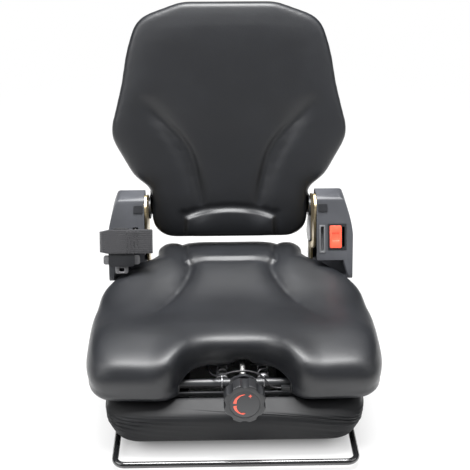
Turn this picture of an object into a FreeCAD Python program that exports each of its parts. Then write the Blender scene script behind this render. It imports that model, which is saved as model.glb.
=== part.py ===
import FreeCAD, Part
import math
import os

# Tractor suspension seat. Millimetres, +Z up, the occupant faces -Y.
# The origin is the centre of the four floor bolts, on the floor plane.

# Slide rails
RAIL_PITCH = 285.0
RAIL_LENGTH = 330.0
RAIL_WIDTH = 36.0
RAIL_SHEET = 2.5
RAIL_SLOT = 18.0
RAIL_PLAY = 0.4
BALL_D = 8.0
FLOOR_HOLE_D = 9.0
FLOOR_HOLE_END = 25.0
WEB_HALF = 7.0
TRACK_RISE = 8.5
RAIL_BOLT_PITCH = 200.0
RAIL_BOLT_D = 8.0

# Release bar in front
BAR_D = 11.0
BAR_GAP = 7.4
BAR_REACH = 50.0
BAR_HEIGHT = 14.0
BAR_CORNER = 18.0
BAR_PIVOT_Y = -40.0
LATCH_REACH = 30.0
NOTCH_PITCH = 15.0
NOTCH_WIDTH = 7.0

# Base frame
PLATE = 2.5
BASE_HALF = 196.0
BASE_TOE = 53.7
BASE_HEEL = 30.0
RIM_HEIGHT = 11.0
CHANNEL_WALL = 3.0
CHANNEL_WIDTH = 18.0
CHANNEL_INSIDE = 18.0
BASE_WEB_INSET = 46.0

# Scissor linkage
LINK_LENGTH = 320.0
LINK_THICK = 4.0
LINK_END_R = 10.0
PIVOT_RISE = 65.0
PIVOT_Y = 127.0
INNER_ARM_INSET = 24.0
TORSION_R = 8.5
FRONT_BAR_R = 8.0
PIN_R = 5.0
CENTRE_PIN_R = 6.0
ROLLER_PLAY = 0.3
UPPER_WEB_OUT = 9.0

# Damper
DAMPER_X = -100.0
DAMPER_LOW_Y = 105.0
DAMPER_HIGH_Y = -95.0
DAMPER_LOW_Z = 42.0
DAMPER_TUBE_R = 13.0
DAMPER_ROD_R = 5.0

# Weight adjuster
KNOB_X = 14.0
KNOB_REACH = 77.0
KNOB_Z = 127.0
KNOB_TILT = 4.0
KNOB_R = 35.0
KNOB_DEPTH = 29.0
KNOB_LOBES = 8
DIAL_R = 25.0
SPINDLE_R = 5.0
HOUSING_R = 16.0
SPRING_OFFSET = 36.0
SPRING_R = 9.0
WIRE_R = 1.8
SPRING_TURNS = 13
YOKE_SETBACK = 67.0
SCREW_SPARE = 33.0

# Seat pan and cushion
PAN_SHEET = 2.5
CUSHION_BOTTOM = 97.5
CUSHION_TOP = 161.0
SOFT_GAP = 0.3
CREASE_DEPTH = 7.0
PAD_STEPS = 41
ROLL_SHARE = 0.19

# Rubber boot
BOOT_WALL = 3.4
BOOT_PROUD = 17.0
BOOT_TOE = 47.0
BOOT_HEEL = 21.0
BOOT_BOTTOM = 34.0
BOOT_TOP = 96.5
BOOT_CORNER = 46.0

# Sides, restraints and belt
SIDE_X = 164.0
SIDE_PLATE = 4.0
RESTRAINT_WIDTH = 71.0
RESTRAINT_FRONT = 100.0
RESTRAINT_FOOT_Z = 165.0
RESTRAINT_REAR = 216.0
RESTRAINT_TOP = 318.0
RESTRAINT_LEAN = 22.8
RESTRAINT_WALL = 3.5
WEBBING_WIDTH = 46.0
WEBBING_THICK = 2.4
BUTTON_WIDTH = 23.0
BUTTON_HEIGHT = 44.0
BUTTON_TRAVEL = 5.0

# Backrest
BACK_TILT = 12.0
BACK_Y = 203.0
BACK_Z = 190.0
BACK_THICK = 46.0
SHELL_DEPTH = 42.0
SHELL_WALL = 3.0
RECLINE_Y = 228.0
RECLINE_Z = 248.0
RECLINE_R = 6.0
SECTOR_R = 70.8
BRACKET = 3.0
FRAME_TUBE_R = 11.0
FRAME_TUBE_X = 139.0

# Recline lever
LEVER_Y = 200.0
LEVER_Z = 135.0
GRIP_X = 220.0

# Heights and places that follow from the sizes above
FLANGE_Z = RAIL_SHEET + BALL_D + 0.1
LOWER_RAIL_H = FLANGE_Z + RAIL_SHEET + RAIL_PLAY + RAIL_SHEET
TRACK_TOP = LOWER_RAIL_H + TRACK_RISE
RAIL_X = RAIL_PITCH / 2
BASE_Z = TRACK_TOP
BASE_TOP = BASE_Z + PLATE
CHANNEL_H = CHANNEL_INSIDE + 2 * CHANNEL_WALL
LOW_Z = BASE_TOP + CHANNEL_H / 2
HIGH_Z = LOW_Z + PIVOT_RISE
FRAME_Z = HIGH_Z - CHANNEL_H / 2
PAN_Z = HIGH_Z + CHANNEL_H / 2
PAN_TOP = PAN_Z + PAN_SHEET
ROLLER_R = CHANNEL_INSIDE / 2 - ROLLER_PLAY
ROLLER_Y = PIVOT_Y - math.sqrt(LINK_LENGTH ** 2 - PIVOT_RISE ** 2)
DAMPER_HIGH_Z = DAMPER_LOW_Z + 60.0
FLOOR_HOLE_PITCH = RAIL_LENGTH - 2 * FLOOR_HOLE_END
BASE_FRONT = ROLLER_Y - BASE_TOE
BASE_REAR = PIVOT_Y + BASE_HEEL
BASE_WEB_X = BASE_HALF - BASE_WEB_INSET
INNER_ARM_X = BASE_HALF - INNER_ARM_INSET
OUTER_ARM_X = INNER_ARM_X + 2 * LINK_THICK
UPPER_WEB_X = BASE_HALF + UPPER_WEB_OUT
BAR_SPACING = 2 * (BASE_HALF + BAR_GAP)
BAR_FRONT = BASE_FRONT - BAR_REACH
PAN_HALF = UPPER_WEB_X
FRAME_HALF = UPPER_WEB_X + CHANNEL_WALL
FRAME_FRONT = ROLLER_Y - ROLLER_R - 10.0
FRAME_REAR = PIVOT_Y + 36.0
KNOB_Y = FRAME_FRONT - KNOB_REACH
YOKE_Y = PIVOT_Y - YOKE_SETBACK
BOOT_HALF = FRAME_HALF + BOOT_PROUD
BOOT_FRONT = FRAME_FRONT - BOOT_TOE
BOOT_REAR = FRAME_REAR + BOOT_HEEL
BRACKET_X = SIDE_X - 0.7 - BRACKET
SHELL_X = SIDE_X + SIDE_PLATE + SOFT_GAP
FRONT_POST_X = 95.0

UP = FreeCAD.Vector(0, 0, 1)
RIGHT = FreeCAD.Vector(1, 0, 0)
ORIGIN = FreeCAD.Vector(0, 0, 0)
FAR = 900.0


def vec(x, y, z):
    return FreeCAD.Vector(x, y, z)


def block(x0, x1, y0, y1, z0, z1):
    return Part.makeBox(x1 - x0, y1 - y0, z1 - z0, vec(x0, y0, z0))


def rod(start, direction, radius, length):
    return Part.makeCylinder(radius, length, start, direction)


def cross_rod(x0, x1, y, z, radius):
    """A cylinder along X."""
    return rod(vec(min(x0, x1), y, z), RIGHT, radius, abs(x1 - x0))


def mirrored(shape):
    return shape.mirror(ORIGIN, RIGHT)


def both(shape):
    """The shape and its mirror image on the other side of the seat."""
    return [shape, mirrored(shape)]


def fused(shapes):
    whole = shapes[0]
    if len(shapes) > 1:
        whole = whole.multiFuse(shapes[1:])
    return whole.removeSplitter()


def placed(shape, place):
    return shape.transformed(place.toMatrix())


def rounded_wire(corners):
    """Closed wire in the XY plane through corners (u, v, radius), each rounded by an arc."""
    tangents = []
    count = len(corners)
    for i, (u, v, radius) in enumerate(corners):
        here = vec(u, v, 0)
        before = vec(corners[i - 1][0], corners[i - 1][1], 0) - here
        after = vec(corners[(i + 1) % count][0], corners[(i + 1) % count][1], 0) - here
        before.normalize()
        after.normalize()
        half = before.getAngle(after) / 2
        if radius == 0:
            tangents.append((here, None, here))
            continue
        reach = radius / math.tan(half)
        middle = before + after
        middle.normalize()
        crown = here + middle * (radius / math.sin(half) - radius)
        tangents.append((here + before * reach, crown, here + after * reach))
    edges = []
    for i, (start, crown, end) in enumerate(tangents):
        if crown is not None:
            edges.append(Part.Arc(start, crown, end).toShape())
        following = tangents[(i + 1) % count][0]
        if end.distanceToPoint(following) > 0.001:
            edges.append(Part.LineSegment(end, following).toShape())
    return Part.Wire(edges)


PLANES = {
    "xy": FreeCAD.Matrix(1, 0, 0, 0, 0, 1, 0, 0, 0, 0, 1, 0, 0, 0, 0, 1),
    "yz": FreeCAD.Matrix(0, 0, 1, 0, 1, 0, 0, 0, 0, 1, 0, 0, 0, 0, 0, 1),
    "xz": FreeCAD.Matrix(1, 0, 0, 0, 0, 0, -1, 0, 0, 1, 0, 0, 0, 0, 0, 1),
}


def plate(corners, plane, start, thickness, inset=0.0):
    """A flat plate with rounded corners: (u, v) lie in the plane, its thickness runs along the normal."""
    wire = rounded_wire(corners)
    if inset:
        wire = wire.makeOffset2D(-inset)
    solid = Part.Face(wire).extrude(vec(0, 0, thickness))
    depth = -start - thickness if plane == "xz" else start
    solid.translate(vec(0, 0, depth))
    return solid.transformed(PLANES[plane])


def rectangle(u0, u1, v0, v1, radius):
    return [(u0, v0, radius), (u1, v0, radius), (u1, v1, radius), (u0, v1, radius)]


def bolt(tip, direction, radius, length, head_r, head_h):
    """A screw from its tip to the underside of its head, and a hexagon head."""
    shank = rod(tip, direction, radius, length)
    seat = tip + direction * length
    ring = [vec(head_r * math.cos(k * math.pi / 3), head_r * math.sin(k * math.pi / 3), 0) for k in range(7)]
    head = Part.Face(Part.makePolygon(ring)).extrude(vec(0, 0, head_h))
    head = placed(head, FreeCAD.Placement(seat, FreeCAD.Rotation(UP, direction)))
    return fused([shank, head])


def coil(start, end, radius, wire, turns):
    """A helical spring between two points."""
    axis = end - start
    length = axis.Length
    helix = Part.makeHelix(length / turns, length, radius)
    section = Part.Wire(Part.makeCircle(wire, vec(radius, 0, 0), vec(0, 1, 0)))
    solid = Part.Wire(helix.Edges).makePipeShell([section], True, True)
    return placed(solid, FreeCAD.Placement(start, FreeCAD.Rotation(UP, axis)))


def bent_rod(points, radius, bend):
    """A round bar through the points, with the same bend radius at each corner."""
    edges = []
    last = points[0]
    for i in range(1, len(points) - 1):
        before = points[i - 1] - points[i]
        after = points[i + 1] - points[i]
        before.normalize()
        after.normalize()
        half = before.getAngle(after) / 2
        reach = bend / math.tan(half)
        middle = before + after
        middle.normalize()
        start = points[i] + before * reach
        end = points[i] + after * reach
        crown = points[i] + middle * (bend / math.sin(half) - bend)
        edges.append(Part.LineSegment(last, start).toShape())
        edges.append(Part.Arc(start, crown, end).toShape())
        last = end
    edges.append(Part.LineSegment(last, points[-1]).toShape())
    heading = points[1] - points[0]
    section = Part.Wire(Part.makeCircle(radius, points[0], heading))
    return Part.Wire(edges).makePipeShell([section], True, True)


def ring_loft(rings):
    """A soft closed form through rings of points; the first and last ring are flat."""
    wires = []
    steps = [float(k) for k in range(len(rings[0]) + 1)]
    for ring in rings:
        curve = Part.BSplineCurve()
        curve.interpolate(Points=ring, PeriodicFlag=True, Parameters=steps)
        wires.append(Part.Wire(curve.toShape()))
    return Part.makeLoft(wires, True, False, False, 3)


# Slide rails

def lower_rail():
    half = RAIL_WIDTH / 2
    end = RAIL_LENGTH / 2
    rail = block(RAIL_X - half, RAIL_X + half, -end, end, 0, LOWER_RAIL_H)
    inside = half - RAIL_SHEET
    cuts = [block(RAIL_X - inside, RAIL_X + inside, -FAR, FAR, RAIL_SHEET, LOWER_RAIL_H - RAIL_SHEET)]
    cuts.append(block(RAIL_X - RAIL_SLOT / 2, RAIL_X + RAIL_SLOT / 2, -FAR, FAR, RAIL_SHEET, FAR))
    for y in (-FLOOR_HOLE_PITCH / 2, FLOOR_HOLE_PITCH / 2):
        cuts.append(rod(vec(RAIL_X, y, -1), UP, FLOOR_HOLE_D / 2, RAIL_SHEET + 2))
    lip = RAIL_X + RAIL_SLOT / 2
    for k in range(-5, 6):
        y = BAR_PIVOT_Y - LATCH_REACH + k * NOTCH_PITCH
        notch = block(lip - 1, lip + 5, y - NOTCH_WIDTH / 2, y + NOTCH_WIDTH / 2, FLANGE_Z + RAIL_SHEET, FAR)
        cuts.append(notch)
    return rail.cut(cuts)


def upper_rail():
    end = RAIL_LENGTH / 2
    flange = RAIL_WIDTH / 2 - RAIL_SHEET - 2.5
    parts = [
        block(RAIL_X - flange, RAIL_X + flange, -end, end, FLANGE_Z, FLANGE_Z + RAIL_SHEET),
        block(RAIL_X - WEB_HALF, RAIL_X + WEB_HALF, -end, end, FLANGE_Z, TRACK_TOP),
        block(RAIL_X - 15, RAIL_X + 15, -end, end, TRACK_TOP - RAIL_SHEET, TRACK_TOP),
    ]
    inside = WEB_HALF - RAIL_SHEET
    cuts = [block(RAIL_X - inside, RAIL_X + inside, -FAR, FAR, 0, TRACK_TOP - RAIL_SHEET)]
    for y in (-RAIL_BOLT_PITCH / 2, RAIL_BOLT_PITCH / 2):
        cuts.append(rod(vec(RAIL_X, y, 0), UP, RAIL_BOLT_D / 2 + 0.3, FAR))
    return fused(parts).cut(cuts)


def rail_end_stops():
    stops = []
    for y in (-RAIL_LENGTH / 2 + BALL_D, RAIL_LENGTH / 2 - BALL_D):
        stops += both(rod(vec(RAIL_X, y, RAIL_SHEET), UP, BALL_D / 2, BALL_D - 1))
    return stops


BALL_Z = RAIL_SHEET + 0.05 + BALL_D / 2
BALL_ROWS = [(dx, y) for dx in (-9.5, 9.5) for y in (-105, -65, 65, 105)]


def rail_cages():
    cage = block(RAIL_X - 14, RAIL_X + 14, -115, 115, BALL_Z - 1.5, BALL_Z + 1.5)
    cuts = [rod(vec(RAIL_X + dx, y, 0), UP, BALL_D / 2 + 0.2, FAR) for dx, y in BALL_ROWS]
    cuts.append(plate(rectangle(RAIL_X - 6, RAIL_X + 6, -90, 90, 5), "xy", 0, 50))
    return both(cage.cut(cuts))


def rail_balls():
    balls = []
    for dx, y in BALL_ROWS:
        balls += both(Part.makeSphere(BALL_D / 2, vec(RAIL_X + dx, y, BALL_Z)))
    return balls


def rail_bolts():
    bolts = []
    for y in (-RAIL_BOLT_PITCH / 2, RAIL_BOLT_PITCH / 2):
        tip = vec(RAIL_X, y, TRACK_TOP - RAIL_SHEET - 6)
        bolts += both(bolt(tip, UP, RAIL_BOLT_D / 2, BASE_TOP - tip.z, 6.5, 5))
    return bolts


# Release bar

def release_bar():
    arm = BAR_SPACING / 2
    path = [
        vec(-arm, BAR_PIVOT_Y, BAR_HEIGHT),
        vec(-arm, BAR_FRONT, BAR_HEIGHT),
        vec(arm, BAR_FRONT, BAR_HEIGHT),
        vec(arm, BAR_PIVOT_Y, BAR_HEIGHT),
    ]
    bar = bent_rod(path, BAR_D / 2, BAR_CORNER)
    eyes = both(cross_rod(arm - 5, arm + 5, BAR_PIVOT_Y, BAR_HEIGHT, 8.5))
    holes = both(cross_rod(arm - 9, arm + 9, BAR_PIVOT_Y, BAR_HEIGHT, 3.05))
    return fused([bar] + eyes).cut(holes)


def latch_plate():
    """Tongue that drops into the notches of the lower rail; its tip stands just over them."""
    arm = BAR_SPACING / 2
    y = BAR_PIVOT_Y - LATCH_REACH
    inner = RAIL_X + RAIL_SLOT / 2
    base = LOWER_RAIL_H + 1.0
    tongue = plate(rectangle(inner, arm, y - 8, y + 8, 3), "xy", base, 2.4)
    tooth = block(inner + 0.5, inner + 4.5, y - 2.8, y + 2.8, LOWER_RAIL_H + 0.4, base + 1)
    seat = rod(vec(arm, y - 30, BAR_HEIGHT), vec(0, 1, 0), BAR_D / 2, 60)
    return fused([tongue, tooth]).cut(seat)


def bar_pivot_pins():
    arm = BAR_SPACING / 2
    pin = cross_rod(BASE_HALF - 6.5, arm + 9, BAR_PIVOT_Y, BAR_HEIGHT, 3.0)
    head = cross_rod(arm + 9, arm + 11, BAR_PIVOT_Y, BAR_HEIGHT, 5.5)
    return both(fused([pin, head]))


def bar_springs():
    """Torsion springs outside the eyes that hold the bar down."""
    arm = BAR_SPACING / 2
    start = vec(arm + 5.6, BAR_PIVOT_Y, BAR_HEIGHT)
    return both(coil(start, start + vec(2.6, 0, 0), 4.3, 0.55, 2))


# Base frame

def channel(web_x, open_x, z, front, rear):
    """C-section with its web at web_x and its flanges reaching to open_x."""
    low, high = sorted((web_x, open_x))
    out = 1 if open_x > web_x else -1
    body = block(low, high, front, rear, z, z + CHANNEL_H)
    inner = (web_x + out * CHANNEL_WALL, open_x + out)
    cut = block(min(inner), max(inner), -FAR, FAR, z + CHANNEL_WALL, z + CHANNEL_H - CHANNEL_WALL)
    return body.cut(cut)


def base_frame():
    outline = rectangle(-BASE_HALF, BASE_HALF, BASE_FRONT, BASE_REAR, 35)
    floor = plate(outline, "xy", BASE_Z, PLATE)
    rim = plate(outline, "xy", BASE_TOP, RIM_HEIGHT).cut(plate(outline, "xy", BASE_TOP, RIM_HEIGHT, PLATE))
    web_x = BASE_WEB_X
    rails = both(channel(web_x, web_x + CHANNEL_WIDTH, BASE_TOP, FRAME_FRONT, PIVOT_Y + 24))
    tab_x = BASE_HALF - 3.5
    tab = plate(
        [(BAR_PIVOT_Y - 12, BASE_Z, 0), (BAR_PIVOT_Y - 9, BAR_HEIGHT - 7, 6),
         (BAR_PIVOT_Y + 9, BAR_HEIGHT - 7, 6), (BAR_PIVOT_Y + 12, BASE_Z, 0)], "yz", tab_x, 3)
    ears = [damper_ear(DAMPER_X + side * 16.5, DAMPER_LOW_Y, DAMPER_LOW_Z, BASE_TOP) for side in (-1, 1)]
    pads = both(block(BASE_WEB_X - 34, BASE_WEB_X - 10, -54, -30, BASE_TOP, BASE_TOP + 2))
    frame = fused([floor, rim] + rails + both(tab) + ears + pads)
    cuts = [plate(rectangle(-82, 82, -180, 72, 22), "xy", BASE_Z - 1, PLATE + 2)]
    cuts += both(cross_rod(web_x - 1, web_x + 4, PIVOT_Y, LOW_Z, TORSION_R + 2))
    cuts += both(cross_rod(tab_x - 1, tab_x + 5, BAR_PIVOT_Y, BAR_HEIGHT, 3.0))
    cuts.append(cross_rod(DAMPER_X - 30, DAMPER_X + 30, DAMPER_LOW_Y, DAMPER_LOW_Z, PIN_R))
    for y in (-RAIL_BOLT_PITCH / 2, RAIL_BOLT_PITCH / 2):
        cuts += both(rod(vec(RAIL_X, y, 0), UP, RAIL_BOLT_D / 2 + 0.3, BASE_TOP + 1))
    return frame.cut(cuts)


def damper_ear(x, y, z, foot_z):
    """An upright plate from foot_z with its round end about the damper's bolt."""
    away = 1 if z > foot_z else -1
    corners = [(y - 14, foot_z, 0), (y - 11, z + away * 10, 8), (y + 11, z + away * 10, 8), (y + 14, foot_z, 0)]
    return plate(corners, "yz", x - 2, 4)


def bump_stops():
    stops = []
    for side in (1, -1):
        foot = vec(side * (BASE_WEB_X - 22), -42, BASE_TOP + 2)
        cone = Part.makeCone(10, 7, 16, foot, UP)
        stops.append(cone.makeFillet(2, [cone.Edges[0]]))
    return stops


# Scissor linkage

def link_arm(low, high, x0):
    """Pressed arm between two (y, z) points, wider about its middle."""
    length = math.hypot(high[0] - low[0], high[1] - low[1])
    half = LINK_END_R
    wide = half + 4
    corners = [
        (-half, -half, half * 0.98), (length * 0.32, -half, 40), (length * 0.42, -wide, 30),
        (length * 0.58, -wide, 30), (length * 0.68, -half, 40), (length + half, -half, half * 0.98),
        (length + half, half, half * 0.98), (length * 0.68, half, 40), (length * 0.58, wide, 30),
        (length * 0.42, wide, 30), (length * 0.32, half, 40), (-half, half, half * 0.98),
    ]
    arm = plate(corners, "yz", 0, LINK_THICK)
    angle = math.degrees(math.atan2(high[1] - low[1], high[0] - low[0]))
    turn = FreeCAD.Rotation(RIGHT, angle)
    return placed(arm, FreeCAD.Placement(vec(x0, low[0], low[1]), turn))


def link_centre():
    return (PIVOT_Y + ROLLER_Y) / 2, (LOW_Z + HIGH_Z) / 2


def torsion_tube(z, half_length):
    outer = cross_rod(-half_length, half_length, PIVOT_Y, z, TORSION_R)
    return outer.cut(cross_rod(-FAR, FAR, PIVOT_Y, z, PIN_R + 0.06))


def outer_link():
    arm = link_arm((PIVOT_Y, LOW_Z), (ROLLER_Y, HIGH_Z), OUTER_ARM_X)
    y, z = link_centre()
    arm = arm.cut(cross_rod(OUTER_ARM_X - 1, OUTER_ARM_X + 9, y, z, CENTRE_PIN_R))
    axle = cross_rod(OUTER_ARM_X, UPPER_WEB_X - 1, ROLLER_Y, HIGH_Z, 4)
    front = cross_rod(-OUTER_ARM_X - 1, OUTER_ARM_X + 1, ROLLER_Y, HIGH_Z, FRONT_BAR_R)
    rear = torsion_tube(LOW_Z, OUTER_ARM_X + LINK_THICK)
    return fused([rear, front] + both(arm) + both(axle))


def inner_link():
    arm = link_arm((PIVOT_Y, HIGH_Z), (ROLLER_Y, LOW_Z), INNER_ARM_X)
    y, z = link_centre()
    arm = arm.cut([
        cross_rod(INNER_ARM_X - 1, INNER_ARM_X + 9, y, z, CENTRE_PIN_R + 0.3),
        cross_rod(INNER_ARM_X - 1, INNER_ARM_X + 9, PIVOT_Y, HIGH_Z, TORSION_R - 1)])
    axle = cross_rod(BASE_WEB_X + 4, INNER_ARM_X, ROLLER_Y, LOW_Z, 4)
    rear = torsion_tube(HIGH_Z, INNER_ARM_X + LINK_THICK)
    return fused([rear] + both(arm) + both(axle))


def centre_pins():
    y, z = link_centre()
    inner = BASE_WEB_X + CHANNEL_WIDTH + 0.8
    pin = cross_rod(inner, OUTER_ARM_X + LINK_THICK + 3, y, z, CENTRE_PIN_R)
    heads = [cross_rod(inner, INNER_ARM_X - 0.4, y, z, 9.5)]
    heads.append(cross_rod(OUTER_ARM_X + LINK_THICK, OUTER_ARM_X + LINK_THICK + 3, y, z, 9.5))
    return both(fused([pin] + heads))


def pivot_bushes():
    """Nylon bushes in the base channels, round the lower torsion tube."""
    bush = cross_rod(BASE_WEB_X, BASE_WEB_X + CHANNEL_WALL, PIVOT_Y, LOW_Z, TORSION_R + 2)
    flange = cross_rod(BASE_WEB_X - 2, BASE_WEB_X, PIVOT_Y, LOW_Z, TORSION_R + 3)
    bore = cross_rod(BASE_WEB_X - 9, BASE_WEB_X + 9, PIVOT_Y, LOW_Z, TORSION_R + 0.05)
    return both(fused([bush, flange]).cut(bore))


def upper_pivot_pins():
    pin = cross_rod(INNER_ARM_X - 30, FRAME_HALF, PIVOT_Y, HIGH_Z, PIN_R)
    shoulder = cross_rod(INNER_ARM_X + LINK_THICK + 0.3, UPPER_WEB_X, PIVOT_Y, HIGH_Z, PIN_R + 3)
    return both(fused([pin, shoulder]))


def roller(x0, x1, z):
    ring = cross_rod(x0, x1, ROLLER_Y, z, ROLLER_R)
    ring = ring.makeFillet(1.0, [e for e in ring.Edges if e.Curve.TypeId == "Part::GeomCircle"])
    return ring.cut(cross_rod(x0 - 1, x1 + 1, ROLLER_Y, z, 4.04))


def lower_rollers():
    return both(roller(BASE_WEB_X + 5, BASE_WEB_X + 16, LOW_Z))


def upper_rollers():
    return both(roller(UPPER_WEB_X - 15, UPPER_WEB_X - 3, HIGH_Z))


# Damper

def damper_axis():
    low = vec(DAMPER_X, DAMPER_LOW_Y, DAMPER_LOW_Z)
    high = vec(DAMPER_X, DAMPER_HIGH_Y, DAMPER_HIGH_Z)
    along = high - low
    return low, high, along.normalize()


def damper_eye(centre, radius):
    eye = cross_rod(centre.x - 14, centre.x + 14, centre.y, centre.z, radius)
    return eye, cross_rod(centre.x - 15, centre.x + 15, centre.y, centre.z, PIN_R + 0.06)


def damper_tube():
    low, high, along = damper_axis()
    eye, hole = damper_eye(low, 10)
    body = rod(low + along * 9, along, DAMPER_TUBE_R - 1, 116)
    collar = rod(low + along * 108, along, DAMPER_TUBE_R, 17)
    bore = rod(low + along * 50, along, DAMPER_ROD_R + 0.8, 90)
    return fused([eye, body, collar]).cut([hole, bore])


def damper_rod():
    low, high, along = damper_axis()
    eye, hole = damper_eye(high, 9)
    stem = rod(high - along * 125, along, DAMPER_ROD_R, 118)
    return fused([eye, stem]).cut(hole)


def damper_bolt(y, z):
    tip = vec(DAMPER_X - 26, y, z)
    return [bolt(tip, RIGHT, PIN_R, 26 + 18.5, 8, 5)]


# Weight adjuster: local Y runs from the knob's face rearwards along the spindle
SPINDLE_PLACE = FreeCAD.Placement(vec(KNOB_X, KNOB_Y, KNOB_Z), FreeCAD.Rotation(RIGHT, -KNOB_TILT))
BACKWARD = FreeCAD.Vector(0, 1, 0)
COS_TILT = math.cos(math.radians(KNOB_TILT))
TAB_DEPTH = (FRAME_FRONT - KNOB_Y) / COS_TILT


def turned(radius, start, length):
    """A cylinder on the spindle's axis, in its local frame."""
    return rod(vec(0, start, 0), BACKWARD, radius, length)


def adjuster_knob():
    body = turned(KNOB_R, 0, KNOB_DEPTH)
    body = body.makeFillet(3.0, [e for e in body.Edges if e.Curve.TypeId == "Part::GeomCircle"])
    cuts = []
    for k in range(KNOB_LOBES):
        angle = 2 * math.pi * k / KNOB_LOBES
        at = vec((KNOB_R + 6.5) * math.cos(angle), -1, (KNOB_R + 6.5) * math.sin(angle))
        cuts.append(rod(at, BACKWARD, 10.5, KNOB_DEPTH + 2))
    cuts.append(turned(DIAL_R, -1, 3))
    hub = turned(14, KNOB_DEPTH - 1, 8)
    return placed(fused([body.cut(cuts), hub]).cut(turned(SPINDLE_R, 8, 90)), SPINDLE_PLACE)


def knob_dial():
    disc = turned(DIAL_R - 0.15, 0.4, 1.6)
    return placed(disc, SPINDLE_PLACE)


def adjuster_spindle():
    screw = turned(SPINDLE_R, 8, yoke_depth() + SCREW_SPARE - 8)
    collar = turned(8, TAB_DEPTH - 26, 8)
    return placed(fused([screw, collar]), SPINDLE_PLACE)


def adjuster_housing():
    """Short barrel with a collar, on the front of the frame's tab."""
    barrel = turned(HOUSING_R, TAB_DEPTH - 11, 22)
    neck = turned(11.5, TAB_DEPTH - 17, 8)
    window = block(-4, 4, TAB_DEPTH - 12, TAB_DEPTH - 9, 7, 13)
    bore = turned(SPINDLE_R + 0.5, TAB_DEPTH - 40, 90)
    solid = placed(fused([barrel, neck]).cut([window, bore]), SPINDLE_PLACE)
    return solid.cut(block(-FAR, FAR, FRAME_FRONT - CHANNEL_WALL, FAR, -FAR, FAR))


def yoke_depth():
    return (YOKE_Y - KNOB_Y) / COS_TILT


def spring_yoke():
    depth = yoke_depth()
    bar = plate(
        [(-SPRING_OFFSET - 11, -9, 6), (SPRING_OFFSET + 11, -9, 6), (SPRING_OFFSET + 11, 9, 6),
         (-SPRING_OFFSET - 11, 9, 6)], "xz", depth - 5, 10)
    nut = turned(10, depth - 12, 24)
    return placed(fused([bar, nut]).cut(turned(SPINDLE_R + 0.06, depth - 30, 60)), SPINDLE_PLACE)


def tension_springs():
    """Two springs from the front bar of the scissor to the yoke."""
    springs = []
    yoke_z = KNOB_Z - math.sin(math.radians(KNOB_TILT)) * yoke_depth()
    face_y = YOKE_Y - 5.4
    for side in (-1, 1):
        x = KNOB_X + side * SPRING_OFFSET
        hook_r = FRONT_BAR_R + WIRE_R + 0.2
        hook = Part.makeTorus(hook_r, WIRE_R, vec(x, ROLLER_Y, HIGH_Z), RIGHT)
        start = vec(x, ROLLER_Y + hook_r + 8, HIGH_Z)
        end = vec(x, face_y - 16, yoke_z)
        winding = coil(start, end, SPRING_R, WIRE_R, SPRING_TURNS)
        front = rod(start - vec(0, 10, 0), BACKWARD, SPRING_R + WIRE_R, 10 - WIRE_R - 0.1)
        rear = rod(end + vec(0, WIRE_R + 0.1, 0), BACKWARD, SPRING_R + WIRE_R, 8)
        stem = rod(end + vec(0, WIRE_R + 4, 0), BACKWARD, WIRE_R + 1, face_y - end.y - WIRE_R - 4)
        springs += [fused([hook, front]), winding, fused([rear, stem])]
    return springs


# Upper frame and pan

def upper_frame():
    rails = both(channel(FRAME_HALF, FRAME_HALF - CHANNEL_WALL - 17, FRAME_Z, FRAME_FRONT, FRAME_REAR))
    strip = block(-FRAME_HALF, FRAME_HALF, FRAME_FRONT - CHANNEL_WALL, FRAME_FRONT, FRAME_Z, FRAME_Z + 8)
    tab = plate(
        [(KNOB_X - 30, FRAME_Z, 0), (KNOB_X + 30, FRAME_Z, 0), (KNOB_X + 20, KNOB_Z + 5, 14),
         (KNOB_X - 20, KNOB_Z + 5, 14)], "xz", FRAME_FRONT - CHANNEL_WALL, CHANNEL_WALL)
    posts = both(block(FRONT_POST_X, FRAME_HALF, FRAME_FRONT - CHANNEL_WALL, FRAME_FRONT, FRAME_Z, PAN_Z))
    rear = block(-FRAME_HALF, FRAME_HALF, FRAME_REAR - CHANNEL_WALL, FRAME_REAR, FRAME_Z, PAN_Z)
    shelf = block(-FRAME_HALF, FRAME_HALF, FRAME_REAR - 20, FRAME_REAR, PAN_Z - CHANNEL_WALL, PAN_Z)
    frame = fused(rails + posts + [strip, tab, rear, shelf])
    cuts = both(cross_rod(UPPER_WEB_X - 1, FRAME_HALF + 1, PIVOT_Y, HIGH_Z, PIN_R))
    cuts.append(placed(turned(SPINDLE_R + 0.5, TAB_DEPTH - 40, 90), SPINDLE_PLACE))
    cuts += both(rod(vec(152, FRAME_REAR - 9, HIGH_Z + 2), BACKWARD, 4.2, 20))
    return frame.cut(cuts)


def tunnel(height):
    """The space that the spindle needs in the pan and the cushion."""
    return block(KNOB_X - 15, KNOB_X + 15, -FAR, FRAME_FRONT + 160, -FAR, height)


def seat_pan():
    front = FRAME_FRONT + 5
    outline = [
        (-PAN_HALF, front, 20), (-92, front, 8), (-84, front + 50, 12), (84, front + 50, 12), (92, front, 8),
        (PAN_HALF, front, 20), (PAN_HALF, 140, 20), (146, 152, 10), (140, 215, 16), (-140, 215, 16),
        (-146, 152, 10), (-PAN_HALF, 140, 20),
    ]
    sheet = plate(outline, "xy", PAN_Z, PAN_SHEET)
    ears = [damper_ear(DAMPER_X + side * 16.5, DAMPER_HIGH_Y, DAMPER_HIGH_Z, PAN_Z) for side in (-1, 1)]
    pan = fused([sheet] + ears)
    cuts = [tunnel(FAR), cross_rod(DAMPER_X - 30, DAMPER_X + 30, DAMPER_HIGH_Y, DAMPER_HIGH_Z, PIN_R)]
    for x in (-150, -50, 50, 150):
        for y in (0, 60, 120):
            cuts.append(rod(vec(x, y, PAN_Z - 1), UP, 13, PAN_SHEET + 2))
    return pan.cut(cuts)


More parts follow.
